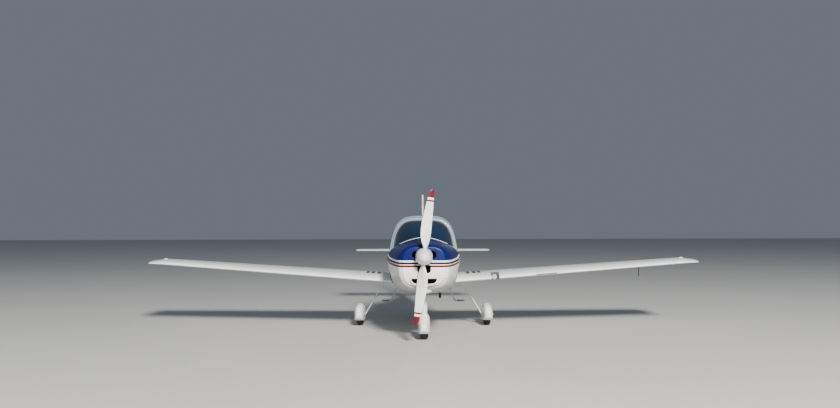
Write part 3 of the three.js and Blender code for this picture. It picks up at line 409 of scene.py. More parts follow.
class Shade:
    """A builder for one principled material from object coordinates."""

    def __init__(self, name, rough=0.4, metal=0.0, coat=0.0, specular=0.5, alpha=1.0):
        self.material = bpy.data.materials.new(name)
        self.material.use_nodes = True
        self.tree = self.material.node_tree
        self.shader = self.tree.nodes["Principled BSDF"]
        for key, value in (("Roughness", rough), ("Metallic", metal), ("Coat Weight", coat), ("Alpha", alpha),
                           ("Coat Roughness", 0.06), ("Specular IOR Level", specular)):
            self.put(key, value)
        self.where = Value(self, self.node("ShaderNodeTexCoord").outputs["Object"])

    def feed(self, target, value):
        if isinstance(value, Value):
            self.tree.links.new(value.socket, target)
        else:
            target.default_value = (*value, 1.0) if target.type == "RGBA" else value

    def put(self, key, value):
        self.feed(self.shader.inputs[key], value)

    def node(self, kind, inputs=(), **settings):
        node = self.tree.nodes.new(kind)
        for key, value in settings.items():
            setattr(node, key, value)
        for key, value in dict(inputs).items():
            self.feed(node.inputs[key], value)
        return node

    def maths(self, kind, a, b=0.0, clamp=False):
        node = self.node("ShaderNodeMath", {0: a, 1: b}, operation=kind, use_clamp=clamp)
        return Value(self, node.outputs[0])

    def axes(self):
        return [Value(self, out) for out in self.node("ShaderNodeSeparateXYZ", {0: self.where}).outputs]

    def noise(self, scale, detail=3.0, rough=0.55, stretch=None):
        where = self.where
        if stretch:
            where = Value(self, self.node("ShaderNodeMapping",
                                          {"Vector": where, "Scale": stretch}).outputs[0])
        inputs = {"Vector": where, "Scale": scale, "Detail": detail, "Roughness": rough}
        return Value(self, self.node("ShaderNodeTexNoise", inputs).outputs["Fac"])

    def ramp(self, factor, *stops):
        """A colour for each stop of (place, colour), or grey where the colour is a number."""
        node = self.node("ShaderNodeValToRGB", {0: factor})
        elements = node.color_ramp.elements
        while len(elements) < len(stops):
            elements.new(0.5)
        for element, (place, colour) in zip(elements, stops):
            element.position = place
            element.color = (*(colour if isinstance(colour, tuple) else (colour,) * 3), 1.0)
        return Value(self, node.outputs["Color"])

    def blend(self, factor, a, b, kind="MIX"):
        node = self.node("ShaderNodeMix", {"Factor": factor}, data_type="RGBA", blend_type=kind)
        for key, value in (("A", a), ("B", b)):
            self.feed([s for s in node.inputs if s.name == key and s.type == "RGBA"][0], value)
        return Value(self, [s for s in node.outputs if s.type == "RGBA"][0])

    def times(self, a, b):
        return self.blend(1.0, a, b, "MULTIPLY")

    def grime(self, base, low=0.86, scale=1.4, fine=38.0):
        """Slow colour variation and fine speckle over a base colour."""
        slow = self.ramp(self.noise(scale, 4.0), (0.3, low), (0.7, 1.0))
        speck = self.ramp(self.noise(fine, 2.0), (0.35, 0.96), (0.6, 1.0))
        return self.times(self.times(base, slow), speck)

    def streaked(self, base, amount=0.10):
        """Faint streaks that the airflow leaves along the length."""
        streak = self.noise(3.0, 5.0, 0.6, (9.0, 0.5, 9.0))
        return self.times(base, self.ramp(streak, (0.42, 1.0 - amount), (0.62, 1.0)))

    def done(self, colour, rough, patches, height=None, strength=0.0, distance=0.0004):
        """The material, with roughness between two values in patches and a bump from the height."""
        self.put("Base Color", colour)
        self.put("Roughness", self.noise(patches, 4.0) * (rough[1] - rough[0]) + rough[0])
        if height:
            inputs = {"Strength": strength, "Distance": distance, "Height": height}
            self.put("Normal", Value(self, self.node("ShaderNodeBump", inputs).outputs["Normal"]))
        return self.material


WHITE = (0.80, 0.81, 0.80)
BLUE = (0.004, 0.007, 0.080)
RED = (0.11, 0.001, 0.004)
BLACK = (0.010, 0.011, 0.013)
# Painted shade: the grey-blue band on the canopy's white front hoop, and the station where it ends
CANOPY_RIM_SHADE, CANOPY_RIM_SHADE_END = (0.10, 0.12, 0.15), 2.03
# The width over which one paint gives way to the next
PAINT_EDGE = 0.0006
# Lower edges, measured at the front of the cowl; the stripes rise aft to the crest and fall behind it
STRIPES = [(0.931, RED), (0.956, WHITE), (0.966, BLACK), (0.991, WHITE), (1.013, BLUE)]
STRIPE_FRONT, STRIPE_CREST = 0.28, 3.2
STRIPE_RISE, STRIPE_FALL = 0.024, 0.026
# The blue's upper edge behind the windshield, which falls from one station to the other
DECK_FRONT, DECK_FADE, DECK_TOP, DECK_FALL = 1.90, (2.15, 5.3), 1.108, 0.085
# The painted shade on the belly: its lowest height and the height over which it thins out
BELLY_SHADE_BASE, BELLY_SHADE_RISE = 0.575, 0.34
BLADE_BANDS = [(0.669, RED), (0.691, WHITE), (0.719, RED)]
RIVET_PITCH, RIVET_RADIUS, RIB_PITCH = 0.028, 0.0022, 0.31
RIVET_ROWS, SPAR_JOINT, SHEET_JOINTS = (0.12, 0.28, 0.31, 0.70), 0.295, (1.04, 2.056, 3.702)


def banded(value, colour, edges):
    """A colour that changes at each edge of the value."""
    for edge, above in edges:
        colour = value.shade.blend(value.rise(edge, PAINT_EDGE), colour, above)
    return colour


def white_paint(name, base=WHITE, rough=(0.16, 0.30)):
    shade = Shade(name, coat=0.35)
    return shade.done(shade.streaked(shade.grime(base, 0.93)), rough, 6.0, shade.noise(900.0, 2.0), 0.03)


def livery(name):
    """White below, a red, a black and two white stripes, and blue above, as far as the stripes run."""
    shade = Shade(name, specular=0.14)
    _, y, z = shade.axes()
    rise = (y - at(STRIPE_FRONT)) * STRIPE_RISE
    fall = (y - at(STRIPE_CREST)) * -STRIPE_FALL + (STRIPE_CREST - STRIPE_FRONT) * STRIPE_RISE
    height = z - rise.minimum(fall)
    top = DECK_TOP - y.rise(at(DECK_FADE[0]), DECK_FADE[1] - DECK_FADE[0]) * DECK_FALL
    over = (height > top) * (y > at(DECK_FRONT))
    colour = shade.blend(over, banded(height, WHITE, STRIPES), WHITE)
    # Painted shade: the colour darkens towards the belly
    belly_shade = shade.ramp(z.rise(BELLY_SHADE_BASE, BELLY_SHADE_RISE), (0.0, (0.36, 0.36, 0.345)), (0.31, (0.60, 0.60, 0.59)),
                      (0.66, (0.84, 0.84, 0.835)), (1.0, 1.0))
    colour = shade.streaked(shade.grime(shade.times(colour, belly_shade), 0.92), 0.07)
    return shade.done(colour, (0.26, 0.42), 6.0, shade.noise(800.0, 2.0), 0.02)


def canopy_paint(name):
    """White, with a grey-blue band of painted shade along the front hoop."""
    shade = Shade(name, coat=0.2)
    colour = banded(shade.axes()[1], CANOPY_RIM_SHADE, [(at(CANOPY_RIM_SHADE_END), WHITE)])
    return shade.done(shade.streaked(shade.grime(colour, 0.93)), (0.22, 0.36), 6.0, shade.noise(900.0, 2.0),
                      0.03)


def plain(name, base, rough=(0.4, 0.6), metal=0.0, grain=400.0, bump=0.12, low=0.82):
    shade = Shade(name, metal=metal)
    return shade.done(shade.grime(base, low, 5.0, 90.0), rough, 30.0, shade.noise(grain, 3.0), bump, 0.0006)


def glass_material(name, tint, alpha):
    shade = Shade(name, alpha=alpha, coat=0.5)
    haze = shade.noise(2.2, 4.0)
    shade.put("Base Color", shade.ramp(haze, (0.3, tint), (0.8, tuple(v * 1.5 for v in tint))))
    shade.put("Roughness", haze * 0.04 + 0.02)
    return shade.material


def blade_paint(name):
    """Grey-white blades with red tips, a white gap and a red band."""
    shade = Shade(name, coat=0.3)
    x, _, z = shade.axes()
    up = z - SHAFT_HEIGHT
    colour = banded((x * x + up * up).root(), (0.80, 0.795, 0.775), BLADE_BANDS)
    return shade.done(shade.grime(colour, 0.86, 7.0), (0.2, 0.38), 22.0, shade.noise(600.0, 2.0), 0.04)


def wing_skin(name, base):
    """White skins with rows of flush rivets at the spars and ribs, and the joints of the sheets."""
    shade = Shade(name, coat=0.4)
    x, y, _ = shade.axes()
    out = abs(x)
    (root, root_leading, root_chord), (tip, tip_leading, tip_chord) = WING_ROOT[:3], WING_TIP[:3]
    t = (out - root) / (tip - root)
    behind = y - (t * (tip_leading - root_leading) + at(root_leading))
    chord = root_chord - t * (root_chord - tip_chord)

    def rivets(along, across):
        run = ((along / RIVET_PITCH).fraction() - 0.5) * RIVET_PITCH
        return run * run + across * across < RIVET_RADIUS ** 2

    marks = rivets(y, (out / RIB_PITCH).fraction() * RIB_PITCH - RIB_PITCH / 2)
    for share in RIVET_ROWS:
        marks = marks.maximum(rivets(out, behind - chord * share))
    joints = abs(behind - chord * SPAR_JOINT) < 0.0009
    for place in SHEET_JOINTS:
        joints = joints.maximum(abs(out - place) < 0.0011)
    colour = shade.streaked(shade.grime(base, 0.93), 0.06)
    colour = shade.blend(marks * 0.30, colour, (0.30, 0.31, 0.32))
    colour = shade.blend(joints * 0.65, colour, (0.16, 0.17, 0.18))
    return shade.done(colour, (0.14, 0.26), 6.0, 1.0 - marks.maximum(joints), 0.25, 0.0005)


def woven(name, base, thread=1500.0):
    """A close weave of crossing threads with a soft sheen."""
    shade = Shade(name)
    shade.put("Sheen Weight", 0.35)
    x, y, z = shade.axes()
    weave = ((y + z) * thread).sine() * (x * thread).sine()
    tone = shade.ramp(weave * 0.5 + 0.5, (0.0, 0.72), (1.0, 1.0))
    return shade.done(shade.times(shade.grime(base, 0.78, 6.0), tone), (0.82, 0.96), 6.0, weave, 0.35, 0.0006)


def brushed(name, base):
    shade = Shade(name, metal=1.0)
    grain = shade.noise(14.0, 4.0, 0.6, (1.0, 60.0, 60.0))
    colour = shade.times(shade.grime(base, 0.85, 9.0), shade.ramp(grain, (0.3, 0.82), (0.7, 1.0)))
    return shade.done(colour, (0.25, 0.42), 18.0, grain, 0.06)


def heated(name):
    """Steel with patches of the straw and blue tints of heat and of sooty black."""
    shade = Shade(name, metal=0.9)
    tint = shade.ramp(shade.noise(26.0, 4.0), (0.25, (0.03, 0.026, 0.024)), (0.5, (0.07, 0.055, 0.042)),
                      (0.75, (0.05, 0.055, 0.065)))
    return shade.done(tint, (0.4, 0.65), 30.0, shade.noise(300.0, 3.0), 0.15, 0.0005)


def display(name):
    shade = Shade(name, coat=1.0)
    sky = shade.ramp(shade.axes()[2].rise(1.06, 1 / 8.5), (0.0, (0.030, 0.018, 0.010)),
                     (0.48, (0.040, 0.024, 0.012)), (0.52, (0.010, 0.022, 0.05)), (1.0, (0.012, 0.030, 0.07)))
    shade.put("Base Color", shade.grime(sky, 0.8, 30.0))
    shade.put("Roughness", shade.noise(20.0) * 0.06 + 0.08)
    return shade.material


MAT = {}


def make_materials():
    MAT.update(
        livery=livery("cabin_livery"),
        canopy=canopy_paint("canopy_paint"),
        wing=wing_skin("wing_paint", (0.81, 0.815, 0.82)),
        propeller=blade_paint("propeller_paint"),
        aluminium=brushed("bare_aluminium", (0.62, 0.63, 0.64)),
        exhaust=heated("exhaust_steel"),
        screen=display("display_glass"),
        fabric=woven("seat_cloth", (0.065, 0.072, 0.088)),
        strap=woven("harness_webbing", (0.020, 0.022, 0.026), 2400.0),
    )
    for key, name, *look in (
        ("white", "white_paint"),
        ("flap", "flap_paint", (0.80, 0.805, 0.81)),
        ("tail", "stabilizer_paint", (0.80, 0.805, 0.81)),
        ("fin", "fin_paint", (0.78, 0.79, 0.80)),
        ("leg", "leg_paint", (0.80, 0.80, 0.79), (0.2, 0.32)),
        ("spat", "spat_paint", (0.74, 0.75, 0.75), (0.25, 0.42)),
        ("spinner", "spinner_paint", (0.70, 0.70, 0.68), (0.12, 0.22)),
        ("step", "step_paint", (0.84, 0.83, 0.79), (0.3, 0.45)),
        # Painted shade: the white bow hoop drawn in a dark grey-blue and a pale grey-blue
        ("bow", "bow_paint", (0.055, 0.075, 0.10), (0.3, 0.45)),
        ("bow_white", "bow_white_paint", (0.21, 0.26, 0.31), (0.3, 0.45)),
    ):
        MAT[key] = white_paint(name, *look)
    for key, name, tint, alpha in (
        ("glass", "smoked_screen", (0.003, 0.010, 0.028), 0.93),
        ("lamp_glass", "lamp_cover_clear", (0.20, 0.22, 0.24), 0.14),
        ("lens", "lamp_lens", (0.66, 0.66, 0.64), 0.75),
    ):
        MAT[key] = glass_material(name, tint, alpha)
    # Key, name, colour, roughness, metal, grain, bump and tone of the grime
    for key, name, *look in (
        ("seal", "seal_rubber", (0.012, 0.012, 0.013), (0.55, 0.8)),
        ("pocket", "lamp_pocket", (0.06, 0.062, 0.066), (0.4, 0.6), 0.0, 300.0, 0.05, 0.9),
        ("grip", "grip_tape", (0.050, 0.050, 0.050), (0.8, 0.95), 0.0, 2600.0, 0.7),
        ("tyre", "tyre_rubber", (0.022, 0.021, 0.020), (0.7, 0.92), 0.0, 700.0, 0.35),
        ("steel", "gear_steel", (0.48, 0.49, 0.50), (0.28, 0.5), 0.6),
        ("step_grip", "step_grip", (0.36, 0.35, 0.32), (0.6, 0.8), 0.0, 1800.0, 0.5),
        ("dark", "panel_plastic", (0.022, 0.022, 0.024), (0.55, 0.75), 0.0, 1500.0, 0.35),
        ("lining", "cabin_lining", (0.055, 0.057, 0.062), (0.75, 0.95), 0.0, 1100.0, 0.4),
        ("engine", "engine_metal", (0.030, 0.030, 0.032), (0.5, 0.75), 0.6, 260.0, 0.4),
        ("black", "inlet_black", (0.004, 0.004, 0.005), (0.8, 0.95)),
        ("pitot", "pitot_paint", (0.03, 0.03, 0.03), (0.35, 0.5)),
        ("chrome", "lamp_reflector", (0.82, 0.83, 0.84), (0.05, 0.12), 1.0, 400.0, 0.02, 0.95),
        ("instrument_ring", "instrument_ring", (0.030, 0.030, 0.032), (0.3, 0.5), 0.0, 900.0, 0.1),
        ("marking", "instrument_marks", (0.70, 0.70, 0.66), (0.5, 0.7), 0.0, 400.0, 0.02),
        ("red", "button_red", (0.35, 0.02, 0.02), (0.3, 0.5), 0.0, 400.0, 0.03),
    ):
        MAT[key] = plain(name, *look)


# Forms of the body, the screen and the canopy

# Columns: station, belly, waist and top height, half width, roundness above and below the waist,
# and the share of the width lost from the waist to the belly
BODY = metres([
    [280, 690, 940, 1190, 272, 3.4, 3.2, 0.04],
    [330, 662, 940, 1204, 308, 3.0, 3.3, 0.05],
    [450, 628, 945, 1222, 350, 2.5, 3.6, 0.08],
    [700, 590, 955, 1243, 405, 2.0, 4.6, 0.13],
    [1050, 568, 968, 1262, 460, 1.75, 6.0, 0.17],
    [1450, 558, 976, 1280, 494, 1.68, 7.0, 0.19],
    [1700, 556, 979, 1284, 511, 1.76, 7.0, 0.19],
    [1900, 555, 980, 1284, 516, 1.84, 7.0, 0.19],
    [2400, 558, 982, 1274, 508, 2.1, 7.0, 0.19],
    [3000, 578, 982, 1242, 455, 2.1, 5.0, 0.16],
    [3480, 608, 976, 1210, 395, 2.0, 3.5, 0.10],
    [4400, 700, 965, 1132, 240, 2.0, 2.3, 0.03],
    [5200, 800, 958, 1070, 118, 2.0, 2.0, 0.0],
    [5640, 858, 956, 1044, 58, 2.0, 2.0, 0.0],
], 5)
# Columns: station, half width, height above the base, roundness, share of the width lost upwards
WINDSHIELD = metres([
    [1425, 20, 262, 2.4, 0.10],
    [1450, 152, 286, 2.6, 0.10],
    [1520, 268, 334, 2.9, 0.12],
    [1620, 350, 392, 3.3, 0.14],
    [1740, 409, 450, 3.6, 0.16],
    [1870, 449, 503, 3.9, 0.17],
    [1960, 466, 530, 4.0, 0.17],
], 3)
CANOPY = metres([
    [1950, 500, 572, 4.0, 0.17],
    [2100, 504, 590, 3.9, 0.17],
    [2300, 505, 597, 3.7, 0.16],
    [2600, 494, 566, 3.3, 0.13],
    [2960, 462, 462, 2.7, 0.07],
    [3240, 424, 326, 2.3, 0.03],
    [3480, 388, 229, 2.0, 0.0],
], 3)
BOW_OUTER = (0, 0.500, 0.567, 4.0, 0.17)
# Columns: distance in from the outside, share of the depth; then the strips between them that are pale. Both
# greys are painted shade on a white hoop
BOW_SECTION = [
    (0.062, 0.02), (0.058, 0.0), (0.046, 0.0), (0.034, 0.0), (0.0275, 0.0), (0.021, 0.03), (0.013, 0.10),
    (0.006, 0.22), (0.0015, 0.38), (0.0, 0.60), (0.0, 0.85), (0.0025, 0.96), (0.008, 1.0), (0.030, 1.0),
    (0.058, 1.0), (0.062, 0.97), (0.062, 0.5),
]
PALE_SHADE_STRIPS = (1, 4, 5, 6)
# How far the windshield reaches behind the front of its bow
SCREEN_SEAT = 0.0137
CANOPY_GLASS_FRONT, CANOPY_GLASS_REAR, CANOPY_SKIRT_TOP = 1.982, 2.960, 1.136
CABIN_INSIDE = steps(FIREWALL + 0.025, CABIN_REAR, 0.07)
SHIELD_STATIONS = [1.428, 1.433, 1.44, 1.455, 1.475, 1.50, 1.53, 1.57, 1.61, 1.66, 1.71, 1.76, 1.81, 1.87,
                   1.92, 1.96]
TRIM_STATIONS = [1.4262, 1.428, 1.431, 1.436, 1.443, 1.452, 1.463, 1.476, 1.49, 1.51] + steps(
    1.53, 1.885, 0.02)
CANOPY_STATIONS = steps(1.950, 3.480, 0.045)
# Columns: place back from the lip's front, shrink
COWL_LIP = [(0.280, 0.020), (0.2815, 0.013), (0.285, 0.0065), (0.291, 0.0018), (0.299, 0.0)]
COWL_CUT = (0.24, 0.38)


def quarter(out, up, roundness, count, lean=0.0):
    """A quarter superellipse from (out, 0) to (0, up) that leans in, its points evenly spaced along it."""
    dense = []
    for i in range(8 * count + 1):
        a = math.pi / 2 * i / (8 * count)
        share = math.sin(a) ** (2 / roundness)
        dense.append((out * (1 - lean * share) * math.cos(a) ** (2 / roundness), up * share))
    dense[-1] = (0.0, up)
    reach = [0.0]
    for p, q in zip(dense, dense[1:]):
        reach.append(reach[-1] + math.dist(p, q))
    points, k = [], 0
    for i in range(count + 1):
        goal = reach[-1] * i / count
        while k < len(dense) - 2 and reach[k + 1] < goal:
            k += 1
        t = (goal - reach[k]) / max(reach[k + 1] - reach[k], 1e-9)
        points.append((mix(dense[k][0], dense[k + 1][0], t), mix(dense[k][1], dense[k + 1][1], t)))
    return points


def whole_ring(up, down, y, waist, centre=0.0):
    """A section from its quarters above and below the waist, as (distance out, distance from the waist)."""
    ring = [(centre + x, y, waist + z) for x, z in up]
    ring += [(centre - x, y, waist + z) for x, z in reversed(up[:-1])]
    ring += [(centre - x, y, waist - z) for x, z in down[1:]]
    return ring + [(centre + x, y, waist - z) for x, z in reversed(down[1:-1])]


def both_sides(points):
    """Points of (x, z) that end on the middle, and their mirror image."""
    return points + [(-x, z) for x, z in reversed(points[:-1])]


def body_ring(station, grow=0.0, place=None, count=22):
    _, belly, waist, top, half, above, below, taper = row_at(BODY, station)
    up = quarter(half + grow, top - waist + grow, above, count)
    down = quarter(half + grow, waist - belly + grow, below, count, taper)
    return whole_ring(up, down, at(station if place is None else place), waist)


def body_loft(stations, grow=0.0, name="body"):
    return loft(name, [body_ring(s, grow) for s in stations])


def body_block(grow):
    return body_loft(steps(1.0, 3.6, 0.07), grow)


def arch_ring(row, station_at, shrink=0.0, count=26):
    _, half, height, roundness, lean = row
    points = quarter(max(half - shrink, 0.002), max(height - shrink, 0.002), roundness, count, lean)
    return [(x, at(station_at(GREENHOUSE_BASE + z)), GREENHOUSE_BASE + z) for x, z in both_sides(points)]


def arch_loft(table, stations, shrink=0.0, moved=0.0, name="arch"):
    return loft(name, [arch_ring(row_at(table, s), lambda z, s=s: s + moved, shrink) for s in stations])


def bow_station(station):
    """The station of a plane that leans with the bow, at each height."""
    return lambda z: station + BOW_LEAN * (z - SILL_HEIGHT)


def slab(front, rear, low, high=1.8):
    """A block between two planes that lean with the bow, above a height."""
    points = [(x, at(bow_station(s)(z)), z) for x in (-0.62, 0.62) for s in (front, rear)
              for z in (low, high)]
    return mesh_object("slab", points, BOX_FACES)


def make_fuselage():
    skins = (MAT["livery"], MAT["lining"])
    inside = [body_loft(CABIN_INSIDE, -CABIN_WALL),
              common(slab(BOW_FRONT + SCREEN_SEAT, 3.4, SILL_HEIGHT, 1.7),
                     box(WIDE, (1.7, CABIN_REAR), (1.0, 1.6))),
              arch_loft(WINDSHIELD, SHIELD_STATIONS, -SEAT_GAP)]
    shell = dress(body_loft(steps(FIREWALL + PANEL_GAP, CONE_FRONT, 0.06), 0.0, "fuselage_skin"), 0, *skins)
    for part in inside:
        cut(shell, dress(part, 1, *skins))
    piece(shell, "airframe", "cabin_paint", "fuselage", angle=40)
    run = (1.965, 3.12)
    for side, sign in reversed(SIDES):
        rail = box((0.397, 0.413), run, (SILL_HEIGHT - 0.02, SILL_HEIGHT + 0.0057), "rail", MAT["aluminium"],
                   0.0015, sign)
        shelf = box((0.395, 0.475), run, (SILL_HEIGHT - 0.018, SILL_HEIGHT), "shelf", MAT["lining"], 0.002,
                    sign)
        piece(merged(f"canopy_rail_{side}", [rail, shelf]), "airframe", "cabin_paint")


def make_tail_cone():
    skins = (MAT["livery"], MAT["black"])
    cone = dress(body_loft(steps(CONE_FRONT + PANEL_GAP, TAIL_END, 0.06), 0.0, "tail_cone_skin"), 0, *skins)
    cut(cone, *[dress(part, 1, *skins) for part in (body_loft(steps(3.15, 5.2, 0.1), -0.016),
                                                    stabilizer_solid("slot", SEAT_GAP))])
    piece(cone, "airframe", "tail_paint", "tail_cone", angle=40)


def curved(*corners, count=10):
    """Curved runs from the first point through every second one, pulled by those between."""
    points = [corners[0]]
    for start, control, end in zip(corners[:-2:2], corners[1::2], corners[2::2]):
        points += [tuple(bezier(start, control, end, i / count)) for i in range(1, count + 1)]
    return points


def oil_inlet(half=0.083, low=0.860, high=0.952, corner=0.038):
    """An upright rectangle with a square top and rounded lower corners, as (x, z)."""
    right = []
    for i in range(13):
        a = math.pi / 2 * i / 12
        right.append((half - corner + corner * math.cos(a), low + corner - corner * math.sin(a)))
    return [(-half, high), (half, high)] + right + [(-x, z) for x, z in reversed(right)]


def make_cowls():
    skins = (MAT["livery"], MAT["black"])
    rings = [body_ring(0.280, -shrink, place) for place, shrink in COWL_LIP]
    rings += [body_ring(s) for s in steps(0.312, FIREWALL - PANEL_GAP, 0.032)]
    inner = [body_ring(s, -COWL_SKIN) for s in steps(0.296, FIREWALL, 0.05)]
    inner.append([(x, at(1.07), z) for x, _, z in inner[-1]])
    upper = cut(dress(loft("cowl_upper_skin", rings), 0, *skins), dress(loft("inside", inner), 1, *skins))
    lower = copy_of(upper, "cowl_lower_skin")

    front, rear = [at(s) for s in COWL_CUT]
    mouth = curved(*both_sides([(0.154, 0.793), (0.153, 0.742), (0.096, 0.734), (0, 0.724)]))
    lip = curved(*both_sides([(0.168, 0.786), (0.166, 0.720), (0.100, 0.709), (0, 0.698)]))
    cutters = [bar((0, front, SHAFT_HEIGHT), (0, rear, SHAFT_HEIGHT), 0.078, 48),
               prism(oil_inlet(), *COWL_CUT)]
    for _, sign in reversed(SIDES):
        x = sign * INLET_X
        cutters += [bar((x, front, z), (x, rear, z), INLET_RADIUS, 48) for z in reversed(INLET_HEIGHTS)]
        cutters.append(box((x - INLET_RADIUS, x + INLET_RADIUS), COWL_CUT, INLET_HEIGHTS))
    cutters.append(prism(mouth, *COWL_CUT))
    for x, station, low, radius in ((0, STEER_STATION, 0.5, 0.032),
                                    (EXHAUST_X, EXHAUST_STATION, 0.48, 0.024)):
        cutters.append(bar((x, at(station), low), (x, at(station), 0.7), radius))
    whole = (0.2, 1.1)
    for part, low, high in ((upper, COWL_SPLIT + PANEL_GAP, 1.5), (lower, 0.3, COWL_SPLIT - PANEL_GAP)):
        common(part, dress(box(WIDE, whole, (low, high)), 0, *skins))
        cut(part, *[dress(copy_of(c, "cutter"), 1, *skins) for c in cutters])
    for cutter in cutters:
        remove(cutter)
    protruding = dress(rounded(prism(mouth + lip[::-1], 0.256, 0.292), 0.006), 0, *skins)
    common(protruding, box(WIDE, whole, (0.3, COWL_SPLIT - PANEL_GAP)))
    protruding.name = "air_mouth_lip"
    piece(upper, "airframe", "cowl_blue", "cowl_upper", angle=38)
    piece(lower, "airframe", "cowl_white", "cowl_lower", angle=38)
    piece(protruding, "airframe", "cowl_white")


def make_bow():
    """A hoop with a flat face to the front and a rounded outer edge, white in painted shade: pale with a grey
    line between.
    """
    columns = [arch_ring(BOW_OUTER, bow_station(mix(BOW_FRONT, BOW_REAR, share)), shrink, 40)
               for shrink, share in BOW_SECTION]
    bow = loft("windshield_bow_hoop", list(zip(*columns)), MAT["bow_white"])
    bow.data.materials.append(MAT["bow"])
    # The pale strips and the grey ones between them are painted shade on the white hoop
    for face in bow.data.polygons:
        face.material_index = 0 if face.index % len(BOW_SECTION) in PALE_SHADE_STRIPS else 1
    below = box(WIDE, (1.7, 2.2), (0.9, SILL_HEIGHT + SEAT_GAP))
    cut(bow, dress(below, 0, MAT["bow_white"], MAT["bow"]))
    piece(bow, "airframe", "bow_paint", "windshield_bow", angle=50)
    for side, sign in reversed(SIDES):
        foot = box((0.418, 0.486), (1.868, 1.958), (SILL_HEIGHT - 0.028, SILL_HEIGHT + 0.012),
                   f"bow_foot_{side}", MAT["bow_white"], 0.008, sign)
        piece(foot, "airframe", "bow_paint")


def make_windshield():
    shield = arch_loft(WINDSHIELD, SHIELD_STATIONS, name="windshield_pane")
    shield.data.materials.append(MAT["glass"])
    cut(shield,
        arch_loft(WINDSHIELD, SHIELD_STATIONS, GLASS, GLASS * 0.6),
        body_loft(steps(1.2, 2.3, 0.07), -0.012),
        slab(BOW_FRONT + SCREEN_SEAT, 2.6, 0.9),
        box(WIDE, (1.955, 2.4), (0.9, 1.8)))
    piece(shield, "airframe", "clear_panel", "windshield", angle=40)
    feet = [(foot[0], at(s), foot[1]) for s in TRIM_STATIONS if (foot := screen_foot(s)) is not None]
    line = [(-x, y, z) for x, y, z in reversed(feet)] + feet
    piece(tube("windshield_trim", line, 0.0055, MAT["white"], 10), "airframe", "bow_paint")


def height_on(half, height, roundness, x, lean=0.0):
    """The height of a leaning superellipse above a place across it."""
    up = 0.0
    for _ in range(12 if lean else 1):
        share = min(abs(x) / (half * (1 - lean * up)), 1.0)
        up = (1 - share ** roundness) ** (1 / roundness)
    return height * up


def deck_height(station, x):
    _, _, waist, top, half, above, _, _ = row_at(BODY, station)
    return waist + height_on(half, top - waist, above, x)


def screen_foot(station):
    """Where the screen's outside meets the deck at a station, as (x, z)."""
    _, half, height, roundness, lean = row_at(WINDSHIELD, station)
    gap = lambda x: GREENHOUSE_BASE + height_on(half, height, roundness, x, lean) - deck_height(station, x)
    low, high = 0.0, half
    if gap(low) < 0:
        return None
    for _ in range(40):
        middle = (low + high) / 2
        low, high = (middle, high) if gap(middle) > 0 else (low, middle)
    return low, deck_height(station, low)


def canopy_inner(ahead, end, behind):
    """The room inside a canopy whose wall has one thickness ahead, one at the hoop and one behind."""
    depth = [(1.95, ahead), (2.66, ahead), (2.96, end), (3.22, behind), (3.48, behind + 0.002)]
    rings = [arch_ring(row_at(CANOPY, 1.95), lambda z: 1.90, ahead)]
    for s in CANOPY_STATIONS[1:-1]:
        k = max(i for i in range(len(depth) - 1) if depth[i][0] <= s)
        t = (s - depth[k][0]) / (depth[k + 1][0] - depth[k][0])
        rings.append(arch_ring(row_at(CANOPY, s), lambda z, s=s: s, mix(depth[k][1], depth[k + 1][1], t)))
    rings.append(arch_ring(row_at(CANOPY, 3.48), lambda z: 3.52, behind + 0.002))
    return loft("inner", rings)


def make_canopy():
    glass = arch_loft(CANOPY, CANOPY_STATIONS, name="canopy_bubble")
    glass.data.materials.append(MAT["glass"])
    thin = GLASS - SEAT_GAP
    cut(glass, canopy_inner(thin, thin, thin))
    common(glass, slab(CANOPY_GLASS_FRONT, CANOPY_GLASS_REAR, CANOPY_SKIRT_TOP))
    piece(glass, "canopy", "clear_panel", "canopy_glass", angle=40)

    skins = (MAT["canopy"], MAT["lining"])
    hoops = dress(arch_loft(CANOPY, CANOPY_STATIONS, name="canopy_hoops"), 0, *skins)
    cut(hoops, dress(canopy_inner(0.026, 0.020, GLASS + 0.002), 1, *skins))
    opening = slab(BOW_REAR + 0.058, CANOPY_GLASS_REAR - 0.03, CANOPY_SKIRT_TOP + 0.016)
    rebate = cut(arch_loft(CANOPY, CANOPY_STATIONS, -0.02), canopy_inner(GLASS, GLASS, GLASS))
    common(rebate, slab(CANOPY_GLASS_FRONT - SEAT_GAP, CANOPY_GLASS_REAR + SEAT_GAP,
                        CANOPY_SKIRT_TOP - SEAT_GAP))
    cut(hoops, dress(opening, 1, *skins), dress(rebate, 1, *skins))
    common(hoops, dress(slab(BOW_REAR + RUNNING_GAP, 4.6, SILL_HEIGHT + RUNNING_GAP), 0, *skins))
    deck = common(body_loft(steps(3.0, 3.7, 0.05), RUNNING_GAP), box((-0.5, 0.5), (3.1, 5.0), (1.0, 1.4)))
    cut(hoops, dress(deck, 1, *skins))
    keep_largest(hoops)
    piece(hoops, "canopy", "bow_paint", "canopy_frame", angle=40)
    for side, sign in reversed(SIDES):
        for number, station in enumerate((2.02, 2.32)):
            shoe = box((0.396, 0.472), (station - 0.03, station + 0.03),
                       (SILL_HEIGHT + RUNNING_GAP, SILL_HEIGHT + 0.026),
                       f"canopy_shoe_{side}_{number}", MAT["dark"], 0.003, sign)
            piece(shoe, "canopy", "bow_paint")


# Lifting surfaces

# Columns: place along the span, leading edge's station, chord, height, thickness
WING_ROOT = (0.420, 1.600, 1.420, 0.677, 0.116)
WING_TIP = (3.690, 1.790, 0.899, 0.922, 0.073)
# Where the wing starts inside the body
WING_HEEL = 0.330
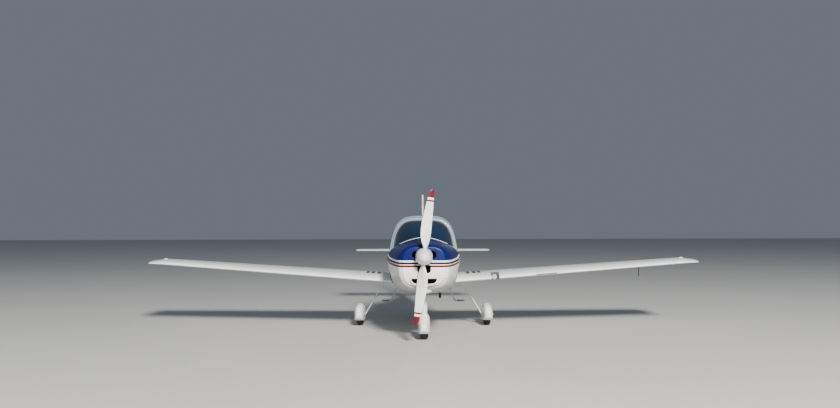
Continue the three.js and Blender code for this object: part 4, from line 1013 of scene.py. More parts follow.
# Columns: place along the span, share of the chord, share of the thickness, drop
WING_END = [
    (3.690, 1.0, 1.0, 0.0),
    (3.759, 0.985, 0.79, 0.005),
    (3.815, 0.965, 0.64, 0.009),
    (3.850, 0.94, 0.54, 0.011),
    (3.874, 0.90, 0.43, 0.013),
]
WING_END_PLACES = (3.700, 3.712, 3.728, 3.744, 3.759, 3.776, 3.794, 3.812, 3.828, 3.844, 3.856, 3.865)
# Thickness of the rear edge of every surface
EDGE = 0.0016
SEAL_WIDTH = 0.008
PIN_RADIUS = 0.004
# Hinge brackets, as shares of a hinge's length
BRACKETS = (0.08, 0.92)
SECTION_POINTS = 26
WALK_STRIPS, WALK_CHORD = [(0.606, 0.656), (0.690, 0.740), (0.764, 0.808)], (0.185, 0.735)
STALL_STRIP = (1.56, 1.85)
# Place along the span and share of the chord; then radius and distance along the lamp
TIP_LAMP = (3.690, 0.30)
TIP_LAMP_PROFILE = [(0.0, -0.029), (0.0055, -0.025), (0.0095, -0.015), (0.0110, -0.002), (0.0100, 0.012),
                    (0.0060, 0.023), (0.0, 0.028)]
# Columns: place along the span, station of the front and rear edge, thickness
STABILIZER = metres([
    [0, 5250, 5950, 52],
    [1178, 5332, 5900, 42],
    [1215, 5352, 5890, 32],
    [1231, 5385, 5868, 14],
], 4)
# Columns: height, station of the front and rear edge, thickness
FIN = metres([
    [960, 4560, 6150, 72],
    [1090, 4700, 6150, 66],
    [1150, 4890, 6148, 63],
    [1230, 5010, 6146, 62],
    [1400, 5105, 6138, 60],
    [1960, 5400, 6072, 54],
    [2008, 5434, 6062, 46],
    [2030, 5480, 6040, 30],
], 4)
FIN_HEIGHTS = [0.960, 1.02, 1.06, 1.09, 1.105, 1.12, 1.135, 1.15, 1.17, 1.19, 1.21, 1.23, 1.27, 1.31, 1.355,
               1.40, 1.5, 1.6, 1.7, 1.8, 1.9, 1.96, 1.976, 1.990, 2.0, 2.008, 2.015, 2.021, 2.026]


def section_half(u):
    """Half thickness of a plain symmetrical section of unit chord and thickness."""
    return 5 * (0.2969 * math.sqrt(u) - 0.126 * u - 0.3516 * u ** 2 + 0.2843 * u ** 3 - 0.1036 * u ** 4)


def camber_line(u):
    return (0.8 * u - u * u) / 0.16 if u < 0.4 else (0.2 + 0.8 * u - u * u) / 0.36


def section(chord, thickness, camber=0.0, count=SECTION_POINTS):
    """(place along the chord, offset) from the rear edge round the nose."""
    line = []
    for i in range(count + 1):
        u = max((1 + math.cos(math.pi * i / count)) / 2, 0.0)
        line.append((u, camber * chord * camber_line(u), thickness * section_half(u) + EDGE * u))
    lower = [(u * chord, mean - half) for u, mean, half in line]
    return lower + [(u * chord, mean + half) for u, mean, half in reversed(line[:-1])]


def wing_at(x):
    """The wing's leading edge, chord, height and thickness."""
    t = (x - WING_ROOT[0]) / (WING_TIP[0] - WING_ROOT[0])
    return [mix(a, b, t) for a, b in zip(WING_ROOT[1:], WING_TIP[1:])]


def wing_ring(x, chord_share=1.0, thick_share=1.0, drop=0.0, grow=0.0, count=SECTION_POINTS):
    leading, chord, height, thickness = wing_at(x)
    nose = leading + chord * (1 - chord_share) * 0.5
    outline = section(chord * chord_share + 2 * grow, thickness * thick_share + 2 * grow, WING_CAMBER, count)
    return [(x, at(nose - grow + back), height - drop + up) for back, up in outline]


def wing_top(x, u, lift=0.0):
    """A point on the wing's upper skin."""
    leading, chord, height, thickness = wing_at(x)
    up = WING_CAMBER * chord * camber_line(u) + thickness * section_half(u) + EDGE * u
    return x, at(leading + u * chord), height + up + lift


def whole_wing(grow=0.0, count=SECTION_POINTS, name="wing"):
    rings = [wing_ring(x, grow=grow, count=count)
             for x in [WING_HEEL] + steps(WING_ROOT[0], WING_TIP[0], 0.30)]
    rings += [wing_ring(*row_at(WING_END, place), grow=grow, count=count) for place in WING_END_PLACES]
    for place, less in ((3.8725, 0.93), (3.874, 0.78)):
        _, chord_share, thick_share, drop = row_at(WING_END, place)
        rings.append(wing_ring(place, chord_share * 0.99, thick_share * less, drop, grow, count))
    return loft(name, rings)


def hinge_radius(thickness, share, slack):
    """The radius of a control's round nose at a share of the chord."""
    return (thickness * section_half(share) + 0.001) * slack


def wing_hinge(x):
    leading, chord, height, thickness = wing_at(x)
    point = (x, at(leading + chord * FLAP_HINGE), height + WING_CAMBER * chord * camber_line(FLAP_HINGE))
    return point, hinge_radius(thickness, FLAP_HINGE, 0.96)


def block_on(origin, along, size, ahead):
    """A block in a frame of its own: along the line, ahead of it, and up from both."""
    t = Vector(along).normalized()
    up = t.cross(Vector((0, -1, 0))).normalized()
    half = [v / 2 for v in size]
    points = [(i, ahead + j, k) for i in (-half[0], half[0]) for j in (-half[1], half[1])
              for k in (-half[2], half[2])]
    obj = mesh_object("block", points, BOX_FACES)
    obj.data.transform(Matrix.Translation(Vector(origin))
                       @ Matrix((t, up.cross(t), up)).transposed().to_4x4())
    return obj


def hinged(whole, region, line, room_region, name):
    """Cuts the part that turns on a line from a surface, with brackets and pins between them."""
    (start, start_radius), (end, end_radius) = line
    start, end = Vector(start), Vector(end)
    along = (end - start).normalized()
    span = (end - start).length
    on = lambda distance: start + along * distance
    rod = lambda a, b, ra, rb, sides: bar(on(a), on(b), ra, sides, end_radius=rb)
    room = rod(-RUNNING_GAP, span + RUNNING_GAP, start_radius + RUNNING_GAP, end_radius + RUNNING_GAP, 40)
    moving = common(copy_of(whole, name), region)
    fused(moving, rod(0, span, start_radius, end_radius, 40))
    cut(whole, room_region, room)
    hole = PIN_RADIUS + 0.0008
    for share in BRACKETS:
        place = share * span
        radius = mix(start_radius, end_radius, share)
        reach = radius + RUNNING_GAP + 0.014
        cut(moving,
            block_on(on(place), along, (0.028, radius + 0.022, 0.2), (radius - 0.014) / 2),
            rod(place - 0.023, place + 0.023, hole, hole, 16))
        fused(whole,
              block_on(on(place), along, (0.008, reach + 0.006, 0.012), (reach - 0.006) / 2),
              rod(place - 0.02, place + 0.02, PIN_RADIUS, PIN_RADIUS, 16))
    return moving


def wing_control(wing, inner, outer, room_inner, room_outer, name):
    def behind(*ends):
        stations = [wing_hinge(x)[0][1] - at(0) for x in ends]
        return column(*zip(ends, stations), (ends[1], 4.0), (ends[0], 4.0))

    return hinged(wing, behind(inner, outer), (wing_hinge(inner), wing_hinge(outer)),
                  behind(room_inner, room_outer), name)


def make_wings():
    wing = cut(whole_wing(name="wing_port_skin"), body_block(SEAL_WIDTH + 2 * SEAT_GAP))
    flap = wing_control(wing, FLAP_INNER, FLAP_OUTER, FLAP_INNER - RUNNING_GAP, FLAP_OUTER + RUNNING_GAP,
                        "flap_port_skin")
    aileron = wing_control(wing, FLAP_OUTER + 2 * RUNNING_GAP, AILERON_OUTER, FLAP_OUTER,
                           AILERON_OUTER + RUNNING_GAP, "aileron_port_skin")
    seal = loft("wing_root_seal_port_skin", [wing_ring(x, 0.994, 0.96) for x in (WING_HEEL, 0.9)])
    common(seal, body_block(SEAL_WIDTH + SEAT_GAP))
    cut(seal, body_block(SEAT_GAP))
    for kind, obj, paint, slot_name in (("wing", wing, "wing", "wing_paint"),
                                        ("flap", flap, "flap", "wing_paint"),
                                        ("aileron", aileron, "flap", "wing_paint"),
                                        ("wing_root_seal", seal, "seal", "seal_rubber")):
        other = mirrored(dress(obj, 0, MAT[paint]))
        if kind == "wing":
            obj.data.materials.append(MAT["pocket"])
            cut(obj, dress(lamp_pocket(0.0), 1, MAT["wing"], MAT["pocket"]))
        for (side, _), skin in zip(SIDES, (obj, other)):
            body = f"{side}_{kind}" if kind in ("flap", "aileron") else "airframe"
            piece(skin, body, slot_name, f"{kind}_{side}", angle=30)


def surface_patch(x_range, u_range, material, lift=0.0009, steps_x=2, steps_u=26):
    """A thin sheet that lies on the wing's upper skin."""
    places = [(mix(*x_range, j / steps_x), mix(*u_range, i / steps_u))
              for i in range(steps_u + 1) for j in range(steps_x + 1)]
    points = [wing_top(x, u, height) for height in (lift, -0.0006) for x, u in places]
    wide, count, faces = steps_x + 1, len(places), []
    for i in range(steps_u):
        for j in range(steps_x):
            a = i * wide + j
            faces.append((a, a + 1, a + wide + 1, a + wide))
            faces.append((a + count, a + wide + count, a + wide + 1 + count, a + 1 + count))
    edge = [*range(wide)] + [i * wide + steps_x for i in range(1, steps_u + 1)]
    edge += ([steps_u * wide + j for j in reversed(range(steps_x))]
             + [i * wide for i in reversed(range(1, steps_u))])
    faces += [(a, b, b + count, a + count) for a, b in zip(edge, edge[1:] + edge[:1])]
    return mesh_object("patch", points, faces, material)


def make_wing_details():
    port = merged("walk_strips_port", [surface_patch(strip, WALK_CHORD, MAT["grip"])
                                       for strip in WALK_STRIPS])
    ridge = []
    for x in STALL_STRIP:
        leading, _, height, _ = wing_at(x)
        corners = ((-0.010, -0.001), (0.004, 0.0075), (0.006, -0.0085))
        ridge.append([(x, at(leading) + back, height + up) for back, up in corners])
    for obj in (port, mirrored(port), loft("stall_strip_port", ridge, MAT["steel"])):
        piece(obj, "airframe", "wing_paint")
    lamp = turned("tip_lamp_port", TIP_LAMP_PROFILE, wing_top(*TIP_LAMP, -0.0015), (1, 0, 0), 32, MAT["lens"])
    for obj in (lamp, mirrored(lamp)):
        piece(obj, "airframe", "lamp_cover")


def lamp_pocket(gap):
    """The room in the leading edge for the landing light."""
    reach = LAMP_RADIUS - gap
    return box((LAMP_X - reach, LAMP_X + reach), (1.5, LAMP_STATION - gap), (0.6, 1.0))


def make_landing_light():
    cover = cut(whole_wing(count=40, name="landing_light_cover_pane"), whole_wing(-0.003, 40))
    common(cover, lamp_pocket(SEAT_GAP))
    keep_largest(cover)
    painted_piece(cover, MAT["lamp_glass"], "airframe", "lamp_cover", "landing_light_cover", angle=32)
    depth = 0.036
    centre = (LAMP_X, at(LAMP_STATION) - depth, wing_at(LAMP_X)[2] + 0.005)
    depth -= SEAT_GAP
    profile = [(0.0, 0.026), (0.010, 0.0245), (0.019, 0.019), (0.026, 0.010), (0.0305, 0.0), (0.034, 0.0),
               (0.034, 0.005), (0.0325, 0.008), (0.0225, 0.030), (0.0215, depth), (0.0, depth)]
    lamp = turned("landing_lamp", profile, centre, (0, 1, 0), 64, MAT["chrome"])
    profile = [(0.0, 0.0010), (0.016, 0.0012), (0.0285, 0.0030), (0.0285, 0.0055), (0.0, 0.0055)]
    lens = turned("landing_lamp_lens", profile, centre, (0, 1, 0), 64, MAT["lens"])
    piece(lamp, "airframe", "lamp_metal", "landing_light")
    piece(lens, "airframe", "lamp_cover")


def make_pitot():
    x, y, top = PITOT_X, at(PITOT_STATION), wing_at(PITOT_X)[2]
    low, bend = top - PITOT_DROP, 0.020
    path = [(x, y, top - 0.012), (x, y, low + bend)]
    for i in range(1, 9):
        a = math.pi / 2 * i / 8
        path.append((x, y - bend * (1 - math.cos(a)), low + bend * (1 - math.sin(a))))
    mast = tube("pitot_tube", path + [(x, y - 0.036, low)], 0.0058, MAT["pitot"], 20)
    tip = tube("pitot_tip", [(x, y - 0.034, low), (x, y - 0.050, low)], [0.0050, 0.0040], MAT["steel"], 20)
    piece(mast, "airframe", "pitot_paint", "pitot_mast")
    piece(tip, "airframe", "pitot_paint")


def stabilizer_solid(name, grow=0.0):
    rows = STABILIZER[:2] + [row_at(STABILIZER[1:], x) for x in (1.187, 1.197, 1.207, 1.215, 1.222, 1.2275)]
    rows.append([1.231, 5.385, 5.868, 0.010])

    def ring(row, side):
        x, front, rear, thickness = row
        outline = section(rear - front + 2 * grow, thickness + 2 * grow)
        return [(side * x, at(front - grow + back), STABILIZER_HEIGHT + up) for back, up in outline]

    return loft(name, [ring(row, -1) for row in reversed(rows[1:])] + [ring(row, 1) for row in rows])


def make_stabilizer():
    def hinge(x):
        front, rear, thickness = [mix(a, b, abs(x) / STABILIZER[1][0])
                                  for a, b in zip(STABILIZER[0][1:], STABILIZER[1][1:])]
        share = (ELEVATOR_HINGE - front) / (rear - front)
        return (x, at(ELEVATOR_HINGE), STABILIZER_HEIGHT), hinge_radius(thickness, share, 0.96)

    inner, outer, cut_back, rear = 0.064, 1.192, 0.215, 6.1
    whole = stabilizer_solid("stabilizer_skin")
    halves = []
    for _, s in SIDES:
        region = column((s * inner, ELEVATOR_HINGE), (s * outer, ELEVATOR_HINGE), (s * outer, rear),
                        (s * cut_back, rear))
        near, far = s * (inner + 0.002), s * (outer + RUNNING_GAP)
        room = column((0, ELEVATOR_HINGE - 0.024), (near, ELEVATOR_HINGE - 0.024), (near, ELEVATOR_HINGE),
                      (far, ELEVATOR_HINGE), (far, rear), (0, rear))
        halves.append(hinged(whole, region, (hinge(s * inner), hinge(s * outer)), room, "elevator_skin"))
    elevator = fused(*halves, bar(*[(x, at(ELEVATOR_HINGE), STABILIZER_HEIGHT) for x in (-0.08, 0.08)],
                                  0.011))
    painted_piece(whole, MAT["tail"], "airframe", "tail_paint", "stabilizer")
    painted_piece(elevator, MAT["tail"], "elevator_body", "tail_paint", "elevator")


def make_fin():
    rows = [row_at(FIN, h) for h in FIN_HEIGHTS] + [[2.029, 5.478, 6.042, 0.026], [2.030, 5.49, 6.03, 0.014]]
    rings = [[(out, at(front + back), height) for back, out in section(rear - front, thickness)]
             for height, front, rear, thickness in rows]
    whole = loft("fin_skin", rings)
    cut(whole, body_loft(steps(4.4, TAIL_END, 0.07), SEAT_GAP),
        box((-0.2, 0.2), (TAIL_END - 0.04, 6.2), (0.8, FIN_BASE)))
    keep_largest(whole)

    def hinge(height):
        _, front, rear, thickness = row_at(FIN, height)
        share = (RUDDER_HINGE - front) / (rear - front)
        return (0, at(RUDDER_HINGE), height), hinge_radius(thickness, share, 0.94)

    bottom, top, above = FIN_BASE + 0.016, 1.975, 2.1
    behind = lambda front, low: box((-0.3, 0.3), (front, 6.3), (low, above))
    room = fused(behind(RUDDER_HINGE, 0.0), behind(RUDDER_HINGE - 0.022, top))
    rudder = hinged(whole, behind(RUDDER_HINGE, bottom), (hinge(bottom), hinge(top)), room, "rudder_skin")
    painted_piece(whole, MAT["fin"], "airframe", "tail_paint", "fin")
    painted_piece(rudder, MAT["fin"], "rudder_body", "tail_paint", "rudder")


# Propeller

# Columns: radius, chord, thickness, blade angle, place of the trailing edge
BLADE = [
    [0.030, 0.048, 0.040, 48, 0.020],
    [0.108, 0.058, 0.038, 44, 0.022],
    [0.170, 0.108, 0.028, 39, 0.036],
    [0.250, 0.142, 0.021, 34, 0.046],
    [0.390, 0.138, 0.016, 26, 0.044],
    [0.520, 0.114, 0.013, 21, 0.039],
    [0.655, 0.088, 0.010, 17, 0.032],
    [0.750, 0.068, 0.008, 15, 0.026],
    [0.800, 0.046, 0.006, 14, 0.020],
    [0.818, 0.016, 0.004, 13, 0.010],
]
BLADE_PLACES = steps(0.030, 0.108, 0.02) + steps(0.12, 0.75, 0.02) + [
    0.76, 0.77, 0.78, 0.788, 0.795, 0.801, 0.807, 0.812, 0.8155]
BLADE_TIP = [0.818, 0.020, 0.0025, 13, 0.011]
SPINNER_WALL = 0.004
BACKPLATE = [(0, 0), (0.1068, 0), (SPINNER_RADIUS, 0.0012), (SPINNER_RADIUS, 0.0045), (0.1068, 0.0057),
             (0, 0.0057)]
SCREW_STATION, SCREW_COUNT = 0.224, 16
SCREW = [(0, 0.0016), (0.0018, 0.0014), (0.0032, 0.0004), (0.0032, -0.0012), (0, -0.0012)]


def blade_ring(row, count=32):
    radius, chord, thickness, angle, trailing = row
    c, s = math.cos(math.radians(angle)), math.sin(math.radians(angle))
    ring = []
    for turn in turns(count):
        along = chord / 2 * math.cos(turn)
        out = thickness / 2 * math.sin(turn) * (1 - 0.45 * math.cos(turn))
        ring.append((trailing + (along - chord / 2) * c - out * s,
                     at(PROPELLER_STATION) + along * s + out * c, radius))
    return ring


def make_propeller():
    rings = [blade_ring(row_at(BLADE, r)) for r in BLADE_PLACES] + [blade_ring(BLADE_TIP)]
    blade = loft("propeller_blades", rings)
    other = copy_of(blade, "blade")
    for obj, turn in ((blade, PROPELLER_LEAN), (other, PROPELLER_LEAN + math.pi)):
        obj.data.transform(Matrix.Translation((0, 0, SHAFT_HEIGHT)) @ Matrix.Rotation(turn, 4, "Y"))
    fused(blade, other, bar(*[(0, at(s), SHAFT_HEIGHT) for s in (0.118, SPINNER_LENGTH)], 0.046, 48))
    painted_piece(blade, MAT["propeller"], "propeller_assembly", "propeller_paint", "propeller", angle=40)


def make_spinner():
    tip, back = (0, at(0), SHAFT_HEIGHT), (0, 1, 0)

    def profile(shrink, count=28):
        points = []
        for i in range(count + 1):
            a = math.pi / 2 * i / count
            out = (SPINNER_RADIUS - shrink) * math.sin(a) ** 0.9
            points.append((out, SPINNER_LENGTH - (SPINNER_LENGTH - shrink) * math.cos(a)))
        return points

    shell = turned("spinner_shell", profile(0) + [(0, SPINNER_LENGTH)], tip, back, 96)
    end = SPINNER_LENGTH + 0.005
    inner = turned("inner", profile(SPINNER_WALL) + [(SPINNER_RADIUS - SPINNER_WALL, end), (0, end)], tip,
                   back, 96)
    ends = [(s * math.sin(PROPELLER_LEAN), at(PROPELLER_STATION), SHAFT_HEIGHT + s * math.cos(PROPELLER_LEAN))
            for s in (-0.13, 0.13)]
    cut(shell, inner, bar(*ends, 0.037, 40))
    painted_piece(shell, MAT["spinner"], "propeller_assembly", "spinner_paint", "spinner")
    centre = (0, at(SPINNER_LENGTH + SEAT_GAP), SHAFT_HEIGHT)
    plate = turned("spinner_backplate_disc", BACKPLATE, centre, back, 96, MAT["aluminium"])
    piece(plate, "propeller_assembly", "bare_aluminium", "spinner_backplate")
    screws = []
    for a in turns(SCREW_COUNT, 0.5):
        out = Vector((math.sin(a), 0, math.cos(a)))
        place = Vector((0, at(SCREW_STATION), SHAFT_HEIGHT)) + out * (SPINNER_RADIUS - 0.0008)
        screws.append(turned("screw", SCREW, place, out, 14, MAT["steel"]))
    piece(merged("spinner_screws", screws), "propeller_assembly", "spinner_paint")


# Cowl fittings

# Station, height, half width, half length, half height
BLISTER = (0.462, 0.636, 0.108, 0.180, 0.038)
EXHAUST_LOW, EXHAUST_HIGH = 0.512, 0.8297


def make_blister():
    station, height, half_width, half_length, half_height = BLISTER
    rings = []
    for i in range(1, 40):
        t = -math.cos(math.pi * i / 40)
        size = math.sqrt(1 - t * t)
        rings.append([(half_width * size * math.cos(a), at(station + half_length * t),
                       height + half_height * size * math.sin(a)) for a in turns(48)])
    blister = loft("chin_blister_skin", rings)
    cut(blister, body_loft(steps(0.28, 1.05, 0.035), SEAT_GAP),
        bar(*[(0, at(STEER_STATION), z) for z in (0.5, 0.7)], 0.032))
    keep_largest(blister)
    painted_piece(blister, MAT["white"], "airframe", "cowl_white", "chin_blister", angle=32)


def make_exhaust():
    length = EXHAUST_HIGH - EXHAUST_LOW
    profile = [(0.0145, 0.010), (0.0145, 0.0), (0.0165, 0.0), (0.0165, length), (0, length), (0, 0.06),
               (0.0145, 0.06), (0.0145, 0.010)]
    pipe = turned("exhaust_stub", profile, (EXHAUST_X, at(EXHAUST_STATION), EXHAUST_LOW), (0, 0, 1), 36,
                  MAT["exhaust"])
    piece(pipe, "airframe", "exhaust_metal", "exhaust_pipe")


# Undercarriage

# Columns: place behind the axle, half width, lowest and highest point
MAIN_SPAT = metres([
    [-330, 14, 158, 196],
    [-312, 40, 130, 230],
    [-240, 64, 96, 282],
    [-130, 73, 80, 308],
    [0, 75, 76, 316],
    [130, 72, 81, 307],
    [260, 56, 102, 270],
    [370, 28, 140, 220],
    [420, 5, 170, 188],
], 4)
NOSE_SPAT = metres([
    [-265, 14, 148, 180],
    [-248, 38, 118, 208],
    [-180, 62, 88, 256],
    [-80, 75, 78, 314],
    [20, 77, 77, 326],
    [120, 71, 83, 318],
    [220, 48, 114, 276],
    [310, 18, 160, 220],
    [335, 4, 177, 198],
], 4)
# The sections of a spat: height share of the widest place, roundness above and below it
MAIN_SECTION = (0.3, 2.8, 9.0)
NOSE_SECTION = (0.42, 3.0, 9.0)
SPAT_WALL = 0.005
LEG_THICKNESS, LEG_CHORD, LEG_TAPER = 0.026, 0.096, 0.82
# Columns: height, chord, width
NOSE_FAIRING = [[0.300, 0.140, 0.078], [0.335, 0.150, 0.080], [0.420, 0.170, 0.088], [0.562, 0.190, 0.084]]
NOSE_FAIRING_TOP = [(0.5612, 0.1885, 0.0825), (0.562, 0.186, 0.080)]
AXLE_CAP = [(0, 0.0), (0.0085, 0.0), (0.0115, -0.0015), (0.0118, -0.004), (0.0118, -0.012), (0, -0.012)]
TOWBAR_PIN = [(0, 0.0), (0.0095, 0.0), (0.0115, -0.0015), (0.0117, -0.006), (0, -0.006)]
WHEEL_BOLT = [(0, 0.005), (0.004, 0.0048), (0.0046, 0.0040), (0.0046, -0.003), (0, -0.003)]
# The entry step's tube: where it starts, turns and ends, and the radius of its bend
STEP_START, STEP_CORNER, STEP_END = (0.277, 3.285, 0.760), (0.498, 3.310, 0.262), (0.655, 3.310, 0.262)
STEP_BEND, STEP_RADIUS = 0.030, 0.0125


def spat_ring(row, shape, centre_x, axle, shrink=0.0, place=None, count=14):
    behind, half, low, high = row
    behind = behind if place is None else place
    share, above, below = shape
    waist = mix(low, high, share)
    quarters = [quarter(max(half - shrink, 0.001), max(reach - shrink, 0.001), roundness, count)
                for reach, roundness in ((high - waist, above), (waist - low, below))]
    return whole_ring(*quarters, at(axle + behind + (shrink if behind < 0 else -shrink)), waist, centre_x)


def spat_shell(name, table, shape, centre_x, axle, tyre_radius, tyre_width):
    """The shell of a wheel cover with the slot for its tyre."""
    nose, tail = table[0][0], table[-1][0]
    _, half, low, high = table[0]
    ring = lambda row, *more: spat_ring(row, shape, centre_x, axle, *more)
    outer = []
    for share, place in ((0.35, nose), (0.8, nose + 0.0012)):
        middle = (low + high) / 2
        outer.append(ring([nose, half * share, mix(middle, low, share), mix(middle, high, share)], 0.0,
                          place))
    for place in [nose + 0.003, nose + 0.008, nose + 0.014] + steps(nose + 0.022, tail - 0.004, 0.022):
        outer.append(ring(row_at(table, place)))
    outer.append(ring([tail, 0.002, table[-1][2] + 0.006, table[-1][3] - 0.006]))
    inside = [ring(row_at(table, p), SPAT_WALL) for p in steps(table[1][0], table[-2][0], 0.03)]
    shell = dress(loft(name, outer), 0, MAT["spat"], MAT["black"])
    wide, long = tyre_width / 2 + 0.012, tyre_radius - 0.005
    return cut(shell, dress(loft("inside", inside), 1, MAT["spat"], MAT["black"]),
               box((centre_x - wide, centre_x + wide), (axle - long, axle + long), (0, 0.13)))


def strut(name, top, bottom, grow=0.0, count=40, rows=14):
    """A leg of a rounded leaf section that tapers to its foot."""
    length = math.hypot(bottom[0] - top[0], bottom[2] - top[2])
    across = ((top[2] - bottom[2]) / length, (bottom[0] - top[0]) / length)
    rings = []
    for k in range(rows + 1):
        t = k / rows
        scale = mix(1.0, LEG_TAPER, t)
        half, deep = LEG_THICKNESS * scale / 2 + grow, LEG_CHORD * scale / 2 + grow
        x, y, z = [mix(a, b, t) for a, b in zip(top, bottom)]
        rings.append([(x + half * math.cos(a) * across[0], y + deep * math.sin(a),
                       z + half * math.cos(a) * across[1])
                      for a in turns(count)])
    return loft(name, rings)


def both_faces(line, half):
    """A closed profile of (radius, share of the half width), the same on both faces of a wheel."""
    profile = [(r, -s * half) for r, s in line] + [(r, s * half) for r, s in reversed(line)]
    return profile + profile[:1]


def wheel_and_tyre(name, centre_x, station, radius, width, body, side=""):
    half, rim, bore = width / 2, radius * 0.54, 0.013
    centre, axis = (centre_x, at(station), radius), (1, 0, 0)
    line = [(rim, 0.70), (rim + 0.004, 0.78)]
    line += [(radius * r, s) for r, s in ((0.66, 0.93), (0.74, 0.992), (0.80, 0.985), (0.87, 0.90),
                                          (0.925, 0.80), (0.952, 0.715), (0.972, 0.60), (0.984, 0.51))]
    for share in (0.42, 0.14):
        for k, depth in ((1, 0.0), (1, 0.0022), (-1, 0.0022), (-1, 0.0)):
            line.append((radius - 0.0003 - depth - 0.004 * share * share, share + k * 0.028))
    tyre = turned(f"{name}{side}_tyre_ring", both_faces(line, half), centre, axis, 96, MAT["tyre"])
    piece(tyre, body, "tyre", f"{name}_tyre{side}", angle=30)
    line = [(bore, 0.80), (bore + 0.013, 0.80), (bore + 0.015, 0.76), (bore + 0.0155, 0.50)]
    line += [(rim * r, s) for r, s in ((0.45, 0.36), (0.66, 0.30), (0.80, 0.32), (0.86, 0.50), (0.89, 0.655))]
    line += [(rim - 0.0022, 0.675), (rim - 0.0008, 0.66), (rim - 0.0007, 0.30)]
    parts = [turned("rim", both_faces(line, half), centre, axis, 72, MAT["aluminium"])]
    for _, sign in reversed(SIDES):
        for a in turns(6):
            place = Vector(centre) + Vector((sign * 0.335 * half, rim * 0.56 * math.cos(a),
                                             rim * 0.56 * math.sin(a)))
            parts.append(turned("bolt", WHEEL_BOLT, place, (sign, 0, 0), 6, MAT["steel"]))
    piece(merged(f"{name}{side}_wheel_disc", parts), body, "bare_aluminium", f"{name}_wheel{side}", angle=30)


def make_main_gear():
    x, y = MAIN_TRACK / 2, at(MAIN_AXLE)
    leg_line = (0.552, y - 0.058, 0.655), (0.852, y, MAIN_TYRE)
    axle = lambda grow: bar((0.846 - grow, y, MAIN_TYRE), (x + 0.091 + grow, y, MAIN_TYRE),
                            AXLE_RADIUS + grow, 40)
    leg = fused(strut("main_leg_port_blade", *leg_line), axle(0.0))
    cut(leg, whole_wing(SEAT_GAP), body_block(SEAT_GAP))
    spat = spat_shell("main_spat_port_shell", MAIN_SPAT, MAIN_SECTION, x, MAIN_AXLE, MAIN_TYRE, MAIN_WIDTH)
    cut(spat, strut("strut", *leg_line, SEAT_GAP), axle(SEAT_GAP))
    for obj in (leg, spat):
        keep_largest(obj)
    dress(leg, 0, MAT["leg"])
    for kind, obj, slot_name in (("main_leg", leg, "leg_paint"), ("main_spat", spat, "fairing_paint")):
        for (side, _), part in zip(SIDES, (obj, mirrored(obj))):
            piece(part, "airframe", slot_name, f"{kind}_{side}", angle=35)
    for side, sign in SIDES:
        wheel_and_tyre("main", sign * x, MAIN_AXLE, MAIN_TYRE, MAIN_WIDTH, f"{side}_wheel_assembly",
                       f"_{side}")
        cap = turned(f"axle_cap_{side}", AXLE_CAP, (sign * 1.0141, y, MAIN_TYRE), (sign, 0, 0), 36,
                     MAT["steel"])
        piece(cap, "airframe", "gear_steel")


def nose_fairing_ring(z, chord, width):
    ring = []
    for a in turns(48):
        back = math.cos(a)
        ring.append((width / 2 * math.sin(a) * (1 - 0.35 * max(back, 0)),
                     at(STEER_STATION) + 0.020 + chord / 2 * back, z))
    return ring


def make_nose_gear():
    steer_y, axle_y = at(STEER_STATION), at(NOSE_AXLE)
    axle = lambda grow: bar(*[(s * (0.08 + grow), axle_y, NOSE_TYRE) for s in (-1, 1)], AXLE_RADIUS + grow,
                            40)
    leg = lambda grow, low=0.303: bar((0, steer_y, low), (0, steer_y, 0.742), 0.020 + grow, 40)

    def spat_room(name, first, last, size, grow):
        rows = [row_at(NOSE_SPAT, p) for p in steps(first, last, size)]
        return loft(name, [spat_ring(row, NOSE_SECTION, 0.0, NOSE_AXLE, grow) for row in rows])

    shell = spat_shell("nose_spat_shell", NOSE_SPAT, NOSE_SECTION, 0.0, NOSE_AXLE, NOSE_TYRE, NOSE_WIDTH)
    cut(shell, axle(SEAT_GAP), leg(SEAT_GAP))
    keep_largest(shell)
    piece(shell, "nose_gear", "fairing_paint", "nose_spat", angle=35)

    half = NOSE_WIDTH / 2 + 0.006
    outline = [(-half - 0.007, 0.131), (-half - 0.007, 0.253), (-half + 0.006, 0.306)]
    outline += [(-x, z) for x, z in reversed(outline)]
    outline += [(half, 0.131), (half, 0.253), (half - 0.016, 0.296), (-half + 0.016, 0.296), (-half, 0.253),
                (-half, 0.131)]
    fork = prism(outline, NOSE_AXLE - 0.018, NOSE_AXLE + 0.018)
    crown = box((-0.03, 0.03), (STEER_STATION - 0.024, NOSE_AXLE + 0.018), (0.296, 0.310))
    room = spat_room("hollow", NOSE_SPAT[1][0], NOSE_SPAT[-2][0], 0.03, SPAT_WALL + 0.0006)
    common(fused(fork, crown), room)
    fused(fork, axle(0.0), leg(0.0))
    fork.name = "nose_leg_fork"
    painted_piece(fork, MAT["steel"], "nose_gear", "gear_steel", "nose_leg", angle=35)

    rings = [nose_fairing_ring(*row_at(NOSE_FAIRING, z)) for z in steps(0.300, 0.558, 0.02)]
    fairing = loft("nose_leg_fairing_shell", rings + [nose_fairing_ring(*row) for row in NOSE_FAIRING_TOP])
    room = spat_room("room", NOSE_SPAT[0][0], NOSE_SPAT[-1][0], 0.025, -SEAT_GAP)
    cut(fairing, leg(SEAT_GAP, 0.25), room)
    keep_largest(fairing)
    painted_piece(fairing, MAT["spat"], "nose_gear", "fairing_paint", "nose_leg_fairing", angle=35)
    wheel_and_tyre("nose", 0.0, NOSE_AXLE, NOSE_TYRE, NOSE_WIDTH, "nose_wheel_assembly")
    for side, sign in reversed(SIDES):
        place = (sign * 0.0801, axle_y, NOSE_TYRE)
        pin = turned(f"towbar_pin_{side}_end", TOWBAR_PIN, place, (sign, 0, 0), 36, MAT["steel"])
        piece(pin, "nose_gear", "gear_steel")


